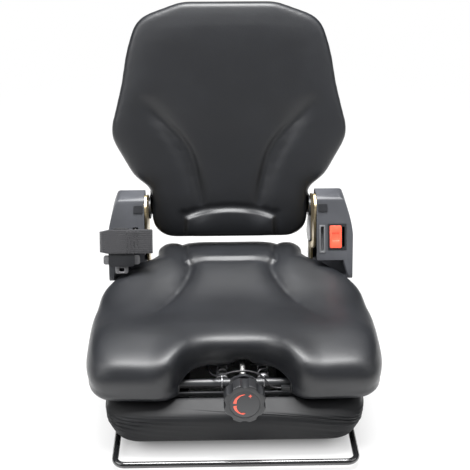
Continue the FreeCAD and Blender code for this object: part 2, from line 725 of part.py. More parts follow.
# Cushion
CUSHION_OUTLINE = [
    (0, 262, 0), (130, 262, 24), (147, 235, 30), (147, 182, 30), (185, 148, 60), (226, 96, 40),
    (250, 52, 60), (258, -60, 120), (256, FRAME_FRONT + 20, 60), (238, FRAME_FRONT - 35, 34),
    (112, FRAME_FRONT - 39, 40), (84, FRAME_FRONT + 15, 34), (48, FRAME_FRONT + 40, 40), (0, FRAME_FRONT + 40, 0),
]


def half_to_whole(outline):
    """Mirrors a half outline, from its first to its last point on the centre line."""
    return outline + [(-u, v, radius) for u, v, radius in reversed(outline[1:-1])]


def valley(across, along, turn, spread, growth):
    """A soft valley either side of the middle, where a crease is sewn; it swings outwards from its waist."""
    x = turn[0] + growth * abs(along - turn[1]) ** 1.6
    return math.exp(-((abs(across) - x) / spread) ** 2)


def eased(x, low, high):
    t = min(max((x - low) / (high - low), 0.0), 1.0)
    return t * t * (3 - 2 * t)


def cushion_top(x, y):
    """Height of the seat: a front ridge, a dished middle, a rear ridge, raised sides and two sewn valleys."""
    if y < 0:
        ridge = 22.0 * math.sin(math.pi / 2 * min(-y, 215.0) / 215.0) ** 2
    else:
        ridge = 13.0 * math.sin(math.pi / 2 * min(y, 150.0) / 150.0) ** 2 - 0.06 * max(y - 150.0, 0.0)
    crease = valley(x, y, (80.0, 128.0), 20.0, 0.018 if y < 128 else 0.008) * eased(y, -100, 40)
    return CUSHION_TOP + ridge + 6.0 * (x / 230.0) ** 2 - CREASE_DEPTH * crease


def reach_table(points, middle):
    """How far an outline reaches from its middle, by direction."""
    arms = [p - middle for p in points]
    return sorted((math.atan2(arm.y, arm.x), arm.Length) for arm in arms)


def share_at(table, middle, x, y):
    """1 on the outline, 0 in its middle."""
    angle = math.atan2(y - middle.y, x - middle.x)
    after = [entry for entry in table if entry[0] > angle] or [(table[0][0] + 2 * math.pi, table[0][1])]
    before = [entry for entry in table if entry[0] <= angle] or [(table[-1][0] - 2 * math.pi, table[-1][1])]
    (a0, r0), (a1, r1) = before[-1], after[0]
    return math.hypot(x - middle.x, y - middle.y) / (r0 + (r1 - r0) * (angle - a0) / (a1 - a0))


def pad(outline, middle, height, roll, levels):
    """A soft pad: walls through level rings, closed above by a surface that rolls off to them."""
    points = rounded_wire(half_to_whole(outline)).discretize(Number=73)[:-1]
    walls = ring_loft([[middle + (p - middle) * share + UP * z for p in points] for share, z in levels])
    table = reach_table(points, middle)
    box = walls.BoundBox
    step_x, step_y = (box.XLength + 8) / (PAD_STEPS - 1), (box.YLength + 8) / (PAD_STEPS - 1)
    grid = []
    for i in range(PAD_STEPS):
        x = box.XMin - 4 + i * step_x
        row = []
        for k in range(PAD_STEPS):
            y = box.YMin - 4 + k * step_y
            edge = (share_at(table, middle, x, y) - 1 + ROLL_SHARE) / ROLL_SHARE
            row.append(vec(x, y, height(x, y) - roll * min(max(edge, 0.0), 1.3) ** 2))
        grid.append(row)
    surface = Part.BSplineSurface()
    surface.interpolate(grid)
    return walls.common(surface.toShape().extrude(UP * -FAR))


def seat_cushion():
    levels = [(0.93, CUSHION_BOTTOM), (0.965, 103.0), (0.992, 118.0), (1.0, 142.0), (0.987, 160.0),
              (0.962, 173.0), (0.925, 187.0), (0.87, 205.0)]
    solid = pad(CUSHION_OUTLINE, vec(0, 10, 0), cushion_top, 15.0, levels)
    room = PAN_TOP + SOFT_GAP
    side = FRAME_HALF + 5
    pocket = block(-side, side, FRAME_FRONT - CHANNEL_WALL - SOFT_GAP, FAR, 0, room)
    arch = block(-84, 84, -FAR, FRAME_FRONT + 65, 0, 124)
    return solid.cut([pocket, arch, tunnel(PAN_TOP + 16)])


# Boot

def boot_ring(half, front, rear, z, corner, inset=0.0):
    outline = rectangle(-half + inset, half - inset, front + inset, rear - inset, corner)
    wire = rounded_wire(outline)
    wire.translate(vec(0, 0, z))
    return wire


def boot():
    rim = FRAME_HALF + SOFT_GAP + BOOT_WALL
    front_rim = FRAME_FRONT - CHANNEL_WALL - SOFT_GAP - BOOT_WALL
    rear_rim = FRAME_REAR + SOFT_GAP + BOOT_WALL
    levels = [
        (BOOT_HALF - 18, BOOT_FRONT - 1, BOOT_REAR - 12, BOOT_BOTTOM),
        (BOOT_HALF - 6, BOOT_FRONT - 2, BOOT_REAR - 3, 58.0),
        (BOOT_HALF, BOOT_FRONT, BOOT_REAR, 75.0),
        (BOOT_HALF - 3, BOOT_FRONT + 6, BOOT_REAR - 3, 83.0),
        (BOOT_HALF - 9, BOOT_FRONT + 23, BOOT_REAR - 9, 90.0),
        (rim, front_rim, rear_rim, BOOT_TOP),
    ]
    outer = Part.makeLoft([boot_ring(h, f, r, z, BOOT_CORNER) for h, f, r, z in levels], True, False)
    hollow = [(h, f, r, z) for h, f, r, z in levels]
    hollow[0] = hollow[0][:3] + (BOOT_BOTTOM + BOOT_WALL,)
    hollow[-1] = hollow[-1][:3] + (BOOT_TOP + 0.5,)
    inner = Part.makeLoft([boot_ring(h, f, r, z, BOOT_CORNER, BOOT_WALL) for h, f, r, z in hollow], True, False)
    seat = rectangle(-BASE_HALF - SOFT_GAP, BASE_HALF + SOFT_GAP, BASE_FRONT - SOFT_GAP,
                     BASE_REAR + SOFT_GAP, 35)
    mouth = block(-rim + BOOT_WALL, rim - BOOT_WALL, front_rim + BOOT_WALL, rear_rim - BOOT_WALL, 85, FAR)
    return outer.cut([inner, plate(seat, "xy", 0, 60), mouth])


# Sides and restraints

def side_plate():
    corners = [
        (FRAME_REAR + 0.3, 98.5, 3), (FRAME_REAR + 0.3, 117.5, 0), (186, 117.5, 4), (186, 180, 10),
        (146, 196, 12), (150, 286, 14), (178, 300, 14), (214, 282, 20), (RECLINE_Y + 24, RECLINE_Z + 22, 20),
        (RECLINE_Y + 24, RECLINE_Z - 24, 20), (238, 190, 30), (238, 98.5, 14),
    ]
    web = plate(corners, "yz", SIDE_X, SIDE_PLATE)
    flange = block(139, SIDE_X, FRAME_REAR + 0.3, FRAME_REAR + 4.3, 98.5, PAN_Z - SOFT_GAP)
    solid = fused([web, flange])
    return solid.cut([
        cross_rod(SIDE_X - 1, SIDE_X + 9, RECLINE_Y, RECLINE_Z, RECLINE_R),
        cross_rod(SIDE_X - 1, SIDE_X + 9, LEVER_Y, LEVER_Z, 5.05),
        rod(vec(152, FRAME_REAR - 1, HIGH_Z + 2), BACKWARD, 4.2, 20)])


def side_plate_bolts():
    length = 8.3
    tip = vec(152, FRAME_REAR + 4.3 - length - CHANNEL_WALL + 3, HIGH_Z + 2)
    return both(bolt(tip, BACKWARD, 4, length, 6.5, 5))


def restraint_form(inset):
    """Wing of the restraint on the +X side: its side profile within its front profile."""
    lean = math.tan(math.radians(RESTRAINT_LEAN))
    foot = 150.0
    top_front = RESTRAINT_FRONT + (RESTRAINT_TOP - RESTRAINT_FOOT_Z) * lean
    foot_front = RESTRAINT_FRONT - (RESTRAINT_FOOT_Z - foot) * lean
    side = [
        (foot_front, foot, 8), (RESTRAINT_REAR, foot, 10), (RESTRAINT_REAR, 250, 40),
        (RESTRAINT_REAR - 4, RESTRAINT_TOP - 2, 14), (top_front, RESTRAINT_TOP, 14),
    ]
    left = SHELL_X
    wide = SHELL_X + RESTRAINT_WIDTH
    front = [
        (left - 20, foot - 20, 0), (wide - 2, foot - 20, 0), (wide, 235, 60),
        (wide - 12, RESTRAINT_TOP - 3, 13), (left - 20, RESTRAINT_TOP + 3, 0),
    ]
    across = plate(side, "yz", left - 10 if inset else left, 200, inset)
    along = plate(front, "xz", -FAR, 2 * FAR, inset)
    return across.common(along)


def cushion_clearance():
    """What the cushion takes up, with room to spare, below the restraints."""
    outline = [(u, v, radius) for u, v, radius in half_to_whole(CUSHION_OUTLINE)]
    return plate(outline, "xy", -FAR, FAR + 187.0, -4.0)


RESTRAINT_PLACE = FreeCAD.Placement(
    vec(0, RESTRAINT_FRONT, RESTRAINT_FOOT_Z), FreeCAD.Rotation(RIGHT, -RESTRAINT_LEAN))


def on_face(shape):
    """From the frame of the restraint's front face: X across, Y into the face, Z up the face."""
    return placed(shape, RESTRAINT_PLACE)


def face_block(x0, x1, h0, h1, deep, proud, radius=2.0):
    """A rounded block on the restraint's front face, from deep inside to proud of it."""
    return on_face(plate(rectangle(x0, x1, h0, h1, radius), "xz", -proud, deep + proud))


SLOT_BOX = (173.0, 185.0, 38.0, 93.0)
BUCKLE_BOX = (190.0, 226.0, 44.0, 95.0)
BUTTON_X = 193.6
BUTTON_H = 47.5
WEB_SLOT_BOX = (180.0, 191.0, 40.0, 92.0)
BEZEL_BOX = (199.0, 229.0, 40.0, 91.0)


def restraint_shell():
    return restraint_form(0.0).cut([restraint_form(RESTRAINT_WALL), cushion_clearance()])


def opening(box, play=0.2):
    x0, x1, h0, h1 = box
    return face_block(x0 - play, x1 + play, h0 - play, h1 + play, 18, 12)


def right_restraint_shell():
    return restraint_shell().cut([opening(SLOT_BOX), opening(BUCKLE_BOX)])


def left_restraint_shell():
    return mirrored(restraint_shell().cut([opening(WEB_SLOT_BOX, 0), opening(BEZEL_BOX)]))


def restraint_cap():
    return face_block(171, 190, 128, 148, 0, 1.6, 3)


def slot_insert():
    """Grey liner with a long recess, in the right restraint."""
    x0, x1, h0, h1 = SLOT_BOX
    body = face_block(x0, x1, h0, h1, 12, 0.8)
    return body.cut(face_block(x0 + 3, x1 - 3, h0 + 3.5, h1 - 3.5, 9, 5))


def belt_bezel():
    x0, x1, h0, h1 = BEZEL_BOX
    body = face_block(x0, x1, h0, h1, 9, 0.8)
    return mirrored(body.cut(face_block(x0 + 3, x1 - 3, h0 + 3, h1 - 3, 6, 5)))


def button_place():
    return BUTTON_X, BUTTON_X + BUTTON_WIDTH, BUTTON_H, BUTTON_H + BUTTON_HEIGHT


def buckle_housing():
    """Buckle body behind the window, with the button's well and the tongue's slot."""
    x0, x1, h0, h1 = BUCKLE_BOX
    body = face_block(x0, x1, h0, h1, 46, 0.8)
    b0, b1, g0, g1 = button_place()
    well = face_block(b0 - 0.4, b1 + 0.4, g0 - 0.4, g1 + 0.4, 22, 5)
    slot = face_block(b1 + 1.4, b1 + 6.2, g0 + 2, g1 - 2, 34, 5, 1.5)
    return body.cut([well, slot])


def buckle_button():
    b0, b1, g0, g1 = button_place()
    cap = face_block(b0, b1, g0, g1, 14, 2.2, 2.5)
    return cap.cut(face_block(b0 + 4, b1 - 4, g0 + 14, g1 - 14, -1.2, 8, 3))


def retractor():
    """Belt reel in the left restraint, on the side plate."""
    body = face_block(SHELL_X, 200, 34, 96, 64, -24, 6)
    half = WEBBING_THICK / 2 + SOFT_GAP
    slot = face_block(TAIL_X - half, TAIL_X + half, 40, 92, 60, 0, 1)
    return mirrored(body.cut(slot))


LOOP_NEAR = 17.0
LOOP_FAR = 29.0
LOOP_X = (158.0, 246.0)
TAIL_X = 185.5


def belt_webbing():
    """Webbing out of its slot, folded forward into a flat loop that holds the tongue."""
    x0, x1 = LOOP_X
    half = (LOOP_FAR - LOOP_NEAR) / 2
    t = WEBBING_THICK / 2
    bottom = 43.0
    outer = rectangle(x0 - half - t, x1 + half + t, LOOP_NEAR - t, LOOP_FAR + t, half + t - 0.01)
    inner = rectangle(x0 - half + t, x1 + half - t, LOOP_NEAR + t, LOOP_FAR - t, half - t - 0.01)
    loop = plate(outer, "xy", bottom, WEBBING_WIDTH).cut(plate(inner, "xy", bottom, WEBBING_WIDTH))
    tail = block(TAIL_X - t, TAIL_X + t, -40, LOOP_NEAR, bottom, bottom + WEBBING_WIDTH)
    strip = fused([loop, tail])
    strip = strip.mirror(ORIGIN, BACKWARD)
    return mirrored(on_face(strip))


def tongue_sleeve():
    body = plate(rectangle(186, 236, 18, 62, 6), "xz", -LOOP_FAR + WEBBING_THICK / 2 + SOFT_GAP,
                 LOOP_FAR - LOOP_NEAR - WEBBING_THICK - 2 * SOFT_GAP)
    return mirrored(on_face(body)).cut(belt_tongue())


def belt_tongue():
    """Steel tongue: wide shoulders, and a blade with its latch hole."""
    corners = [
        (176, 22, 4), (198, 22, 4), (199, 4, 5), (223, 4, 5), (224, 22, 4), (246, 22, 4),
        (246, 40, 5), (176, 40, 5),
    ]
    middle = -(LOOP_NEAR + LOOP_FAR) / 2
    tongue = plate(corners, "xz", middle - 1.4, 2.8)
    hole = plate(rectangle(206, 216, 8, 15, 2), "xz", middle - 5, 10)
    return mirrored(on_face(tongue.cut(hole)))


# Backrest: local X across, Y rearwards, Z up along the padded face
BACK_PLACE = FreeCAD.Placement(vec(0, BACK_Y, BACK_Z), FreeCAD.Rotation(RIGHT, -BACK_TILT))
BACK_OUTLINE = [
    (0, 472, 0), (92, 472, 90), (182, 440, 60), (203, 372, 120), (214, 310, 200), (240, 212, 60),
    (196, 132, 60), (158, 98, 24), (158, 24, 20), (128, 0, 40), (0, 0, 0),
]


def local_pivot():
    """The recline pivot in the backrest's frame, as (rearwards, up)."""
    at = BACK_PLACE.inverse().multVec(vec(0, RECLINE_Y, RECLINE_Z))
    return at.y, at.z


def back_rings(levels, middle_v, outline):
    points = rounded_wire(half_to_whole(outline)).discretize(Number=57)[:-1]
    rings = []
    for share, depth in levels:
        ring = [vec(p.x * share, depth, middle_v + (p.y - middle_v) * share) for p in points]
        rings.append(ring)
    return rings


def back_relief(u, v):
    """Depth of the two sewn valleys in the backrest's face."""
    crease = valley(u, v, (60.0, 70.0), 19.0, 0.0195) * eased(v, 20, 60) * (1 - eased(v, 240, 300))
    return CREASE_DEPTH * crease


def back_cushion():
    levels = [(0.955, -BACK_THICK), (0.985, -38.0), (1.0, -24.0), (0.99, -12.0), (0.97, -4.0), (0.92, 8.0)]
    flat = pad(BACK_OUTLINE, vec(0, 225, 0), lambda u, v: -back_relief(u, v), 7.0, levels)
    return placed(placed(flat, FreeCAD.Placement(ORIGIN, FreeCAD.Rotation(RIGHT, 90))), BACK_PLACE)


SHELL_OUTLINE = [
    (0, 462, 0), (88, 462, 86), (172, 432, 58), (194, 368, 110), (204, 306, 190), (229, 212, 56),
    (188, 138, 56), (150, 100, 24), (150, 44, 18), (128, 28, 16), (0, 28, 0),
]


def shell_form(inset, start):
    middle = 235
    shrink = 1 - inset / 200.0
    levels = [(shrink, start), (0.985 * shrink, BACK_THICK + 18 - inset / 2),
              (0.93 * shrink, BACK_THICK + 33 - inset * 0.8), (0.8 * shrink, BACK_THICK + SHELL_DEPTH - inset)]
    return ring_loft(back_rings(levels, middle, SHELL_OUTLINE))


def back_shell():
    start = BACK_THICK + SOFT_GAP
    shell = shell_form(0, start).cut(shell_form(SHELL_WALL, start - 1))
    notch = both(block(BRACKET_X - 30, 200, 0, BACK_THICK + 24, -10, 152))
    return placed(shell.cut(notch), BACK_PLACE)


def screw_places():
    return [(x, v) for x in (-110, 110) for v in (200, 380)]


def shell_screws():
    """Long posts and screw heads that hold the shell to the frame's cross bars."""
    screws = []
    for x, v in screw_places():
        post = rod(vec(x, BACK_THICK + 12, v), BACKWARD, 3, SHELL_DEPTH - 12 - SHELL_WALL - 0.5)
        screws.append(placed(post, BACK_PLACE))
    return screws


def back_frame():
    """Bent tube with two cross bars and side brackets; the right one has the toothed sector."""
    depth = BACK_THICK + 1 + FRAME_TUBE_R
    x = FRAME_TUBE_X
    path = [vec(-x, depth, 44), vec(-x, depth, 400), vec(x, depth, 400), vec(x, depth, 44)]
    tube = bent_rod(path, FRAME_TUBE_R, 60)
    bars = [block(-x, x, depth - 2, depth + 2, v - 12, v + 12) for v in (200, 380)]
    across, up = local_pivot()
    outer = BRACKET_X + BRACKET
    plan = [
        (across - 20, up - 20, 19), (across + 30, up - 22, 10), (depth + 4, up - 22, 4),
        (depth + 4, up + 21, 4), (across - 20, up + 21, 19),
    ]
    bracket = plate(plan, "yz", BRACKET_X, BRACKET)
    flange = block(x, outer, depth, depth + 4, up - 22, up + 70)
    parts = [tube] + bars + both(bracket) + both(flange)
    frame = placed(fused(parts), BACK_PLACE)
    frame = fused([frame, sector()])
    cuts = both(cross_rod(BRACKET_X - 1, outer + 1, RECLINE_Y, RECLINE_Z, RECLINE_R + 0.06))
    for sx, v in screw_places():
        hole = rod(vec(sx, BACK_THICK, v), BACKWARD, 3, 40)
        cuts.append(placed(hole, BACK_PLACE))
    return frame.cut(cuts)


def pawl_angle():
    """Direction from the recline pivot to the pawl's tip."""
    return math.atan2(178.0 - RECLINE_Z, 213.0 - RECLINE_Y)


def sector():
    """Toothed plate about the recline pivot, in the right bracket's plane."""
    middle = pawl_angle()
    spread = math.radians(34)
    rim = []
    for k in range(-17, 18):
        angle = middle + spread * k / 17
        radius = SECTOR_R if k % 2 else SECTOR_R - 3.5
        rim.append((RECLINE_Y + radius * math.cos(angle), RECLINE_Z + radius * math.sin(angle), 0))
    corners = [(RECLINE_Y, RECLINE_Z + 12, 0)] + rim
    return plate(corners, "yz", BRACKET_X, BRACKET)


def recline_bolts():
    shank = cross_rod(BRACKET_X, SHELL_X, RECLINE_Y, RECLINE_Z, RECLINE_R)
    head = cross_rod(SHELL_X - SOFT_GAP, SHELL_X + 5, RECLINE_Y, RECLINE_Z, RECLINE_R + 3)
    washer = cross_rod(SIDE_X - 0.55, SIDE_X, RECLINE_Y, RECLINE_Z, RECLINE_R + 6)
    return both(fused([shank, head, washer]))


# Recline lever on the right side

def recline_lever():
    """Pawl inside the side plate, its shaft, and the hand lever outside."""
    shaft = cross_rod(BRACKET_X, SHELL_X + 4, LEVER_Y, LEVER_Z, 5.0)
    angle = pawl_angle()
    tip_y = RECLINE_Y + (SECTOR_R + 0.5) * math.cos(angle)
    tip_z = RECLINE_Z + (SECTOR_R + 0.5) * math.sin(angle)
    pawl = plate(
        [(LEVER_Y - 9, LEVER_Z - 8, 6), (LEVER_Y + 9, LEVER_Z - 8, 6), (tip_y + 7, tip_z - 14, 6),
         (tip_y + 2.0, tip_z, 0), (tip_y - 2.0, tip_z, 0), (tip_y - 9, tip_z - 12, 4)],
        "yz", BRACKET_X, BRACKET)
    arm = plate(
        [(LEVER_Y - 30, LEVER_Z - 18, 6), (LEVER_Y + 11, LEVER_Z - 11, 9), (LEVER_Y + 11, LEVER_Z + 11, 9),
         (LEVER_Y - 26, LEVER_Z + 2, 8)], "yz", SHELL_X, 4)
    elbow = vec(GRIP_X, LEVER_Y - 22, LEVER_Z - 9)
    handle = bent_rod([vec(SHELL_X + 1, elbow.y, elbow.z), elbow, vec(GRIP_X, LEVER_Y - 62, elbow.z)], 4.5, 12)
    return fused([shaft, pawl, arm, handle])


def lever_grip():
    start = vec(GRIP_X, LEVER_Y - 38, LEVER_Z - 9)
    profile = [
        (0, 0, 0), (0, 7, 2), (-6, 8, 8), (-28, 7, 30), (-32, 5.5, 3), (-32, 0, 0),
    ]
    half = Part.Face(rounded_wire([(v, u, r) for u, v, r in profile]))
    body = placed(half.revolve(ORIGIN, BACKWARD, 360), FreeCAD.Placement(start, FreeCAD.Rotation()))
    return body.cut(rod(start - vec(0, 24, 0), BACKWARD, 4.5, 60))


# Seat switch and its cable
CABLE_R = 1.5
CABLE_ROUTE = [
    vec(-52, -96, 109), vec(-52, -116, 109), vec(-49, -140, 110.5), vec(-44, -166, 114.5),
    vec(-37, -188, 120.5), vec(-23, -199, 129), vec(-4, -202, 138), vec(22, -202, 140),
    vec(43, -202, 132), vec(54, -203, 118), vec(64, -203.3, 104.5), vec(79, -203.3, 104.5),
]


def cord_path(points):
    """Straight runs joined by tangent arcs as large as their runs allow; prints the radii."""
    edges = []
    radii = []
    last = points[0]
    for i in range(1, len(points) - 1):
        before = points[i - 1] - points[i]
        after = points[i + 1] - points[i]
        reach = 0.45 * min(before.Length, after.Length)
        before.normalize()
        after.normalize()
        half = before.getAngle(after) / 2
        radius = reach * math.tan(half)
        radii.append(radius)
        middle = before + after
        middle.normalize()
        crown = points[i] + middle * (radius / math.sin(half) - radius)
        start = points[i] + before * reach
        end = points[i] + after * reach
        edges.append(Part.LineSegment(last, start).toShape())
        edges.append(Part.Arc(start, crown, end).toShape())
        last = end
    edges.append(Part.LineSegment(last, points[-1]).toShape())
    print("cable radii", [round(r) for r in radii])
    return Part.Wire(edges)


def switch_cable():
    path = cord_path(CABLE_ROUTE)
    heading = CABLE_ROUTE[1] - CABLE_ROUTE[0]
    section = Part.Wire(Part.makeCircle(CABLE_R, CABLE_ROUTE[0], heading))
    solid = path.makePipeShell([section], True, True)
    print("cable length", round(path.Length), "volume share", round(solid.Volume / (path.Length * math.pi * CABLE_R ** 2), 4))
    return solid


def seat_switch():
    end = CABLE_ROUTE[0]
    return plate(rectangle(end.x - 14, end.x + 14, end.y, end.y + 28, 5), "xy", PAN_Z - 11, 11)


def cable_plug():
    """Small connector on the side of the frame's right front post."""
    end = CABLE_ROUTE[-1]
    body = plate(rectangle(end.x, FRONT_POST_X - SOFT_GAP, end.y - 3.5, end.y + 2.5, 1), "xy", end.z - 4.5, 8.5)
    ridge = plate(rectangle(end.x + 3, end.x + 9, end.y - 1.5, end.y + 1.5, 0.5), "xy", end.z + 4, 1.2)
    return fused([body, ridge])


PIECES = {
    "lower_rails": lambda: both(lower_rail()),
    "rail_end_stops": rail_end_stops,
    "rail_ball_cages": rail_cages,
    "rail_balls": rail_balls,
    "upper_rails": lambda: both(upper_rail()),
    "rail_bolts": rail_bolts,
    "slide_release_bar": release_bar,
    "latch_plates": lambda: both(latch_plate()),
    "bar_pivot_pins": bar_pivot_pins,
    "bar_springs": bar_springs,
    "base_frame": base_frame,
    "bump_stops": bump_stops,
    "outer_scissor_link": outer_link,
    "inner_scissor_link": inner_link,
    "scissor_centre_pins": centre_pins,
    "pivot_bushes": pivot_bushes,
    "upper_pivot_pins": upper_pivot_pins,
    "lower_rollers": lower_rollers,
    "upper_rollers": upper_rollers,
    "damper_tube": damper_tube,
    "damper_rod": damper_rod,
    "damper_lower_bolt": lambda: damper_bolt(DAMPER_LOW_Y, DAMPER_LOW_Z),
    "damper_upper_bolt": lambda: damper_bolt(DAMPER_HIGH_Y, DAMPER_HIGH_Z),
    "adjuster_knob": adjuster_knob,
    "knob_dial": knob_dial,
    "adjuster_spindle": adjuster_spindle,
    "adjuster_housing": adjuster_housing,
    "spring_yoke": spring_yoke,
    "tension_springs": tension_springs,
    "upper_frame": upper_frame,
    "seat_pan": seat_pan,
    "seat_cushion": seat_cushion,
    "suspension_boot": boot,
    "side_plates": lambda: both(side_plate()),
    "side_plate_bolts": side_plate_bolts,
    "right_restraint_shell": right_restraint_shell,
    "left_restraint_shell": left_restraint_shell,
    "restraint_caps": lambda: both(restraint_cap()),
    "right_slot_insert": slot_insert,
    "left_belt_bezel": belt_bezel,
    "buckle_housing": buckle_housing,
    "buckle_button": buckle_button,
    "belt_retractor": retractor,
    "belt_webbing": belt_webbing,
    "belt_tongue": belt_tongue,
    "tongue_sleeve": tongue_sleeve,
    "backrest_cushion": back_cushion,
    "backrest_shell": back_shell,
    "backrest_shell_screws": shell_screws,
    "backrest_frame": back_frame,
    "recline_pivot_bolts": recline_bolts,
    "recline_lever": recline_lever,
    "recline_lever_grip": lever_grip,
    "seat_switch": seat_switch,
    "switch_cable": switch_cable,
    "cable_plug": cable_plug,
}


def main():
    os.makedirs("parts", exist_ok=True)
    for name, make in PIECES.items():
        shape = make()
        if isinstance(shape, list):
            shape = Part.makeCompound(shape)
        shape.exportStep("parts/" + name + ".step")


main()
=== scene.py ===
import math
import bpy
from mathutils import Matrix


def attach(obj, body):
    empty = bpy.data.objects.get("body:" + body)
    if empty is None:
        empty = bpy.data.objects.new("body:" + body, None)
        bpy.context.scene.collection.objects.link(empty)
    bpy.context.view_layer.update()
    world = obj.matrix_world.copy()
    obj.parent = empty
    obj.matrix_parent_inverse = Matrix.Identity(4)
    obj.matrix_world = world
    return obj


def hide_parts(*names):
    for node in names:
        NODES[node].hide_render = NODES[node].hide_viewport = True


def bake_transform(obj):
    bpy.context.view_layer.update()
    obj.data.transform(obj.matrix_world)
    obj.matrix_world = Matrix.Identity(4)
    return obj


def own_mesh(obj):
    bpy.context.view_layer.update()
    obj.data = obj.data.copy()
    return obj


bl_info = {
    "name": "Tractor Suspension Seat",
    "version": (1, 0, 0),
    "blender": (4, 5, 0),
    "location": "View3D > Sidebar > Seat",
    "description": "Pads, boot, restraints, lap belt, knob and finishes of a tractor suspension seat",
    "category": "Object",
}

import bmesh
import bpy
import numpy as np
from bpy.props import FloatProperty, FloatVectorProperty, PointerProperty
from mathutils import Matrix, Vector

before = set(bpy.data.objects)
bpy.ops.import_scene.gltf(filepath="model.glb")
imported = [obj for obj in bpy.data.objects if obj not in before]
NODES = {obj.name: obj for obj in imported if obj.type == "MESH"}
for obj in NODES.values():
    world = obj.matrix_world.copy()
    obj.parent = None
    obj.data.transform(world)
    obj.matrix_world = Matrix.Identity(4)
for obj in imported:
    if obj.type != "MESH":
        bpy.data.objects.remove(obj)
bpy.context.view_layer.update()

BACK_ORIGIN = Vector((0, 0.203, 0.190))
BACK_TILT = math.radians(12)
FACE_ORIGIN = Vector((0, 0.100, 0.165))
FACE_LEAN = math.radians(22.8)
KNOB_CENTRE = Vector((0.014, -0.282, 0.127))
KNOB_TILT = math.radians(4)
CURVE_STEPS = 12
MERGE_GAP = 1e-6
THREAD_SIDES = 2


def size(name, description, default):
    return FloatProperty(name=name, description=description, default=default, min=0.0,
                         subtype="DISTANCE", unit="LENGTH")


def colour(name, description, default):
    return FloatVectorProperty(name=name, description=description, default=default, min=0.0,
                               max=1.0, size=3, subtype="COLOR")


class SeatSizes(bpy.types.PropertyGroup):
    """Sizes of the soft pieces and of the small details."""

    voxel: size("Pad mesh", "Edge length that the pads are remeshed to", 0.0057)
    swell: size("Swell", "How far the foam pushes the cover out between its seams", 0.0065)
    crease_depth: size("Crease depth", "Depth of the sewn creases", 0.0036)
    crease_width: size("Crease width", "Half width of the sewn creases", 0.0075)
    grain: size("Vinyl grain", "Size of one pebble of the vinyl's grain", 0.0013)
    webbing: size("Webbing thickness", "Thickness of the lap belt", 0.0021)
    thread: size("Thread radius", "Radius of the belt's sewing thread", 0.00042)
    cable: size("Cable diameter", "Diameter of the seat switch's cable", 0.003)
    edge: size("Moulded edge", "Radius on the edges of the plastic mouldings", 0.0014)


class SeatColours(bpy.types.PropertyGroup):
    """Colours of the seat's finishes."""

    vinyl: colour("Vinyl", "Cover of the pads", (0.0048, 0.0056, 0.0076))
    moulding: colour("Moulding", "Restraints and shell", (0.040, 0.042, 0.048))
    coating: colour("Powder coat", "Frame, links and pan", (0.018, 0.019, 0.021))
    rubber: colour("Rubber", "Boot and bump stops", (0.0042, 0.0046, 0.0056))
    signal: colour("Signal red", "Buckle button and the marks on the knob", (0.80, 0.095, 0.050))
    zinc: colour("Zinc", "Clear zinc on rails and screws", (0.55, 0.55, 0.54))
    passivate: colour("Yellow passivate", "Side plates and their bolts", (0.56, 0.45, 0.22))


# Places

def face_to_world(x, proud, h):
    """From the restraint's front face: across, out of the face, up the face."""
    turn = Matrix.Rotation(-FACE_LEAN, 3, "X")
    return FACE_ORIGIN + turn @ Vector((x, -proud, h))


def dial_to_world(x, proud, z):
    """From the knob's dial: across, out of the dial, up the dial."""
    turn = Matrix.Rotation(-KNOB_TILT, 3, "X")
    return KNOB_CENTRE + turn @ Vector((x, -proud, z))


def curved(points):
    """A smooth line through the points, as an array."""
    p = np.array([points[0], *points, points[-1]], float)
    out = []
    for a, b, c, d in zip(p, p[1:], p[2:], p[3:]):
        for t in np.linspace(0, 1, CURVE_STEPS, endpoint=False):
            bend = (2 * a - 5 * b + 4 * c - d) * t**2
            twist = (3 * b - a - 3 * c + d) * t**3
            out.append(0.5 * (2 * b + (c - a) * t + bend + twist))
    out.append(p[-2])
    return np.array(out)


def soft_step(x, low, high):
    """0 up to low and 1 from high, eased between them."""
    t = np.clip((x - low) / (high - low), 0.0, 1.0)
    return t * t * (3 - 2 * t)


def nearness(flat, line, width):
    """1 at flat points on a line of (u, v, strength), falling off over its width."""
    best = np.zeros(len(flat))
    for a, b in zip(line[:-1], line[1:]):
        run = b[:2] - a[:2]
        t = np.clip(((flat - a[:2]) @ run) / max(run @ run, 1e-12), 0, 1)
        gap = np.linalg.norm(flat - (a[:2] + t[:, None] * run), axis=1)
        strength = a[2] + t * (b[2] - a[2])
        best = np.maximum(best, strength * np.exp(-((gap / width) ** 2)))
    return best


# Mesh tools

def select_only(piece):
    if bpy.context.object and bpy.context.object.mode != "OBJECT":
        bpy.ops.object.mode_set(mode="OBJECT")
    bpy.ops.object.select_all(action="DESELECT")
    piece.select_set(True)
    bpy.context.view_layer.objects.active = piece


def in_edit_mode(piece, *steps):
    """Runs mesh operators on all of a piece. A step is an operator with its settings."""
    select_only(piece)
    bpy.ops.object.mode_set(mode="EDIT")
    bpy.ops.mesh.select_all(action="SELECT")
    for operator, settings in steps:
        operator(**settings)
    bpy.ops.object.mode_set(mode="OBJECT")


def copy_of(node, name):
    """A free copy of a CAD node's mesh, with its doubles merged."""
    piece = bpy.data.objects.new(name, NODES[node].data.copy())
    bpy.context.scene.collection.objects.link(piece)
    piece.data.materials.clear()
    in_edit_mode(piece, (bpy.ops.mesh.remove_doubles, {"threshold": MERGE_GAP}))
    return piece


def add_modifier(piece, kind, **settings):
    modifier = piece.modifiers.new(kind.title(), kind)
    for key, value in settings.items():
        setattr(modifier, key, value)
    return modifier


def apply_modifier(piece, kind, **settings):
    select_only(piece)
    modifier = add_modifier(piece, kind, **settings)
    bpy.ops.object.modifier_apply(modifier=modifier.name)


def shade(piece, degrees=None):
    select_only(piece)
    if degrees is None:
        bpy.ops.object.shade_smooth()
    else:
        bpy.ops.object.shade_smooth_by_angle(angle=math.radians(degrees))


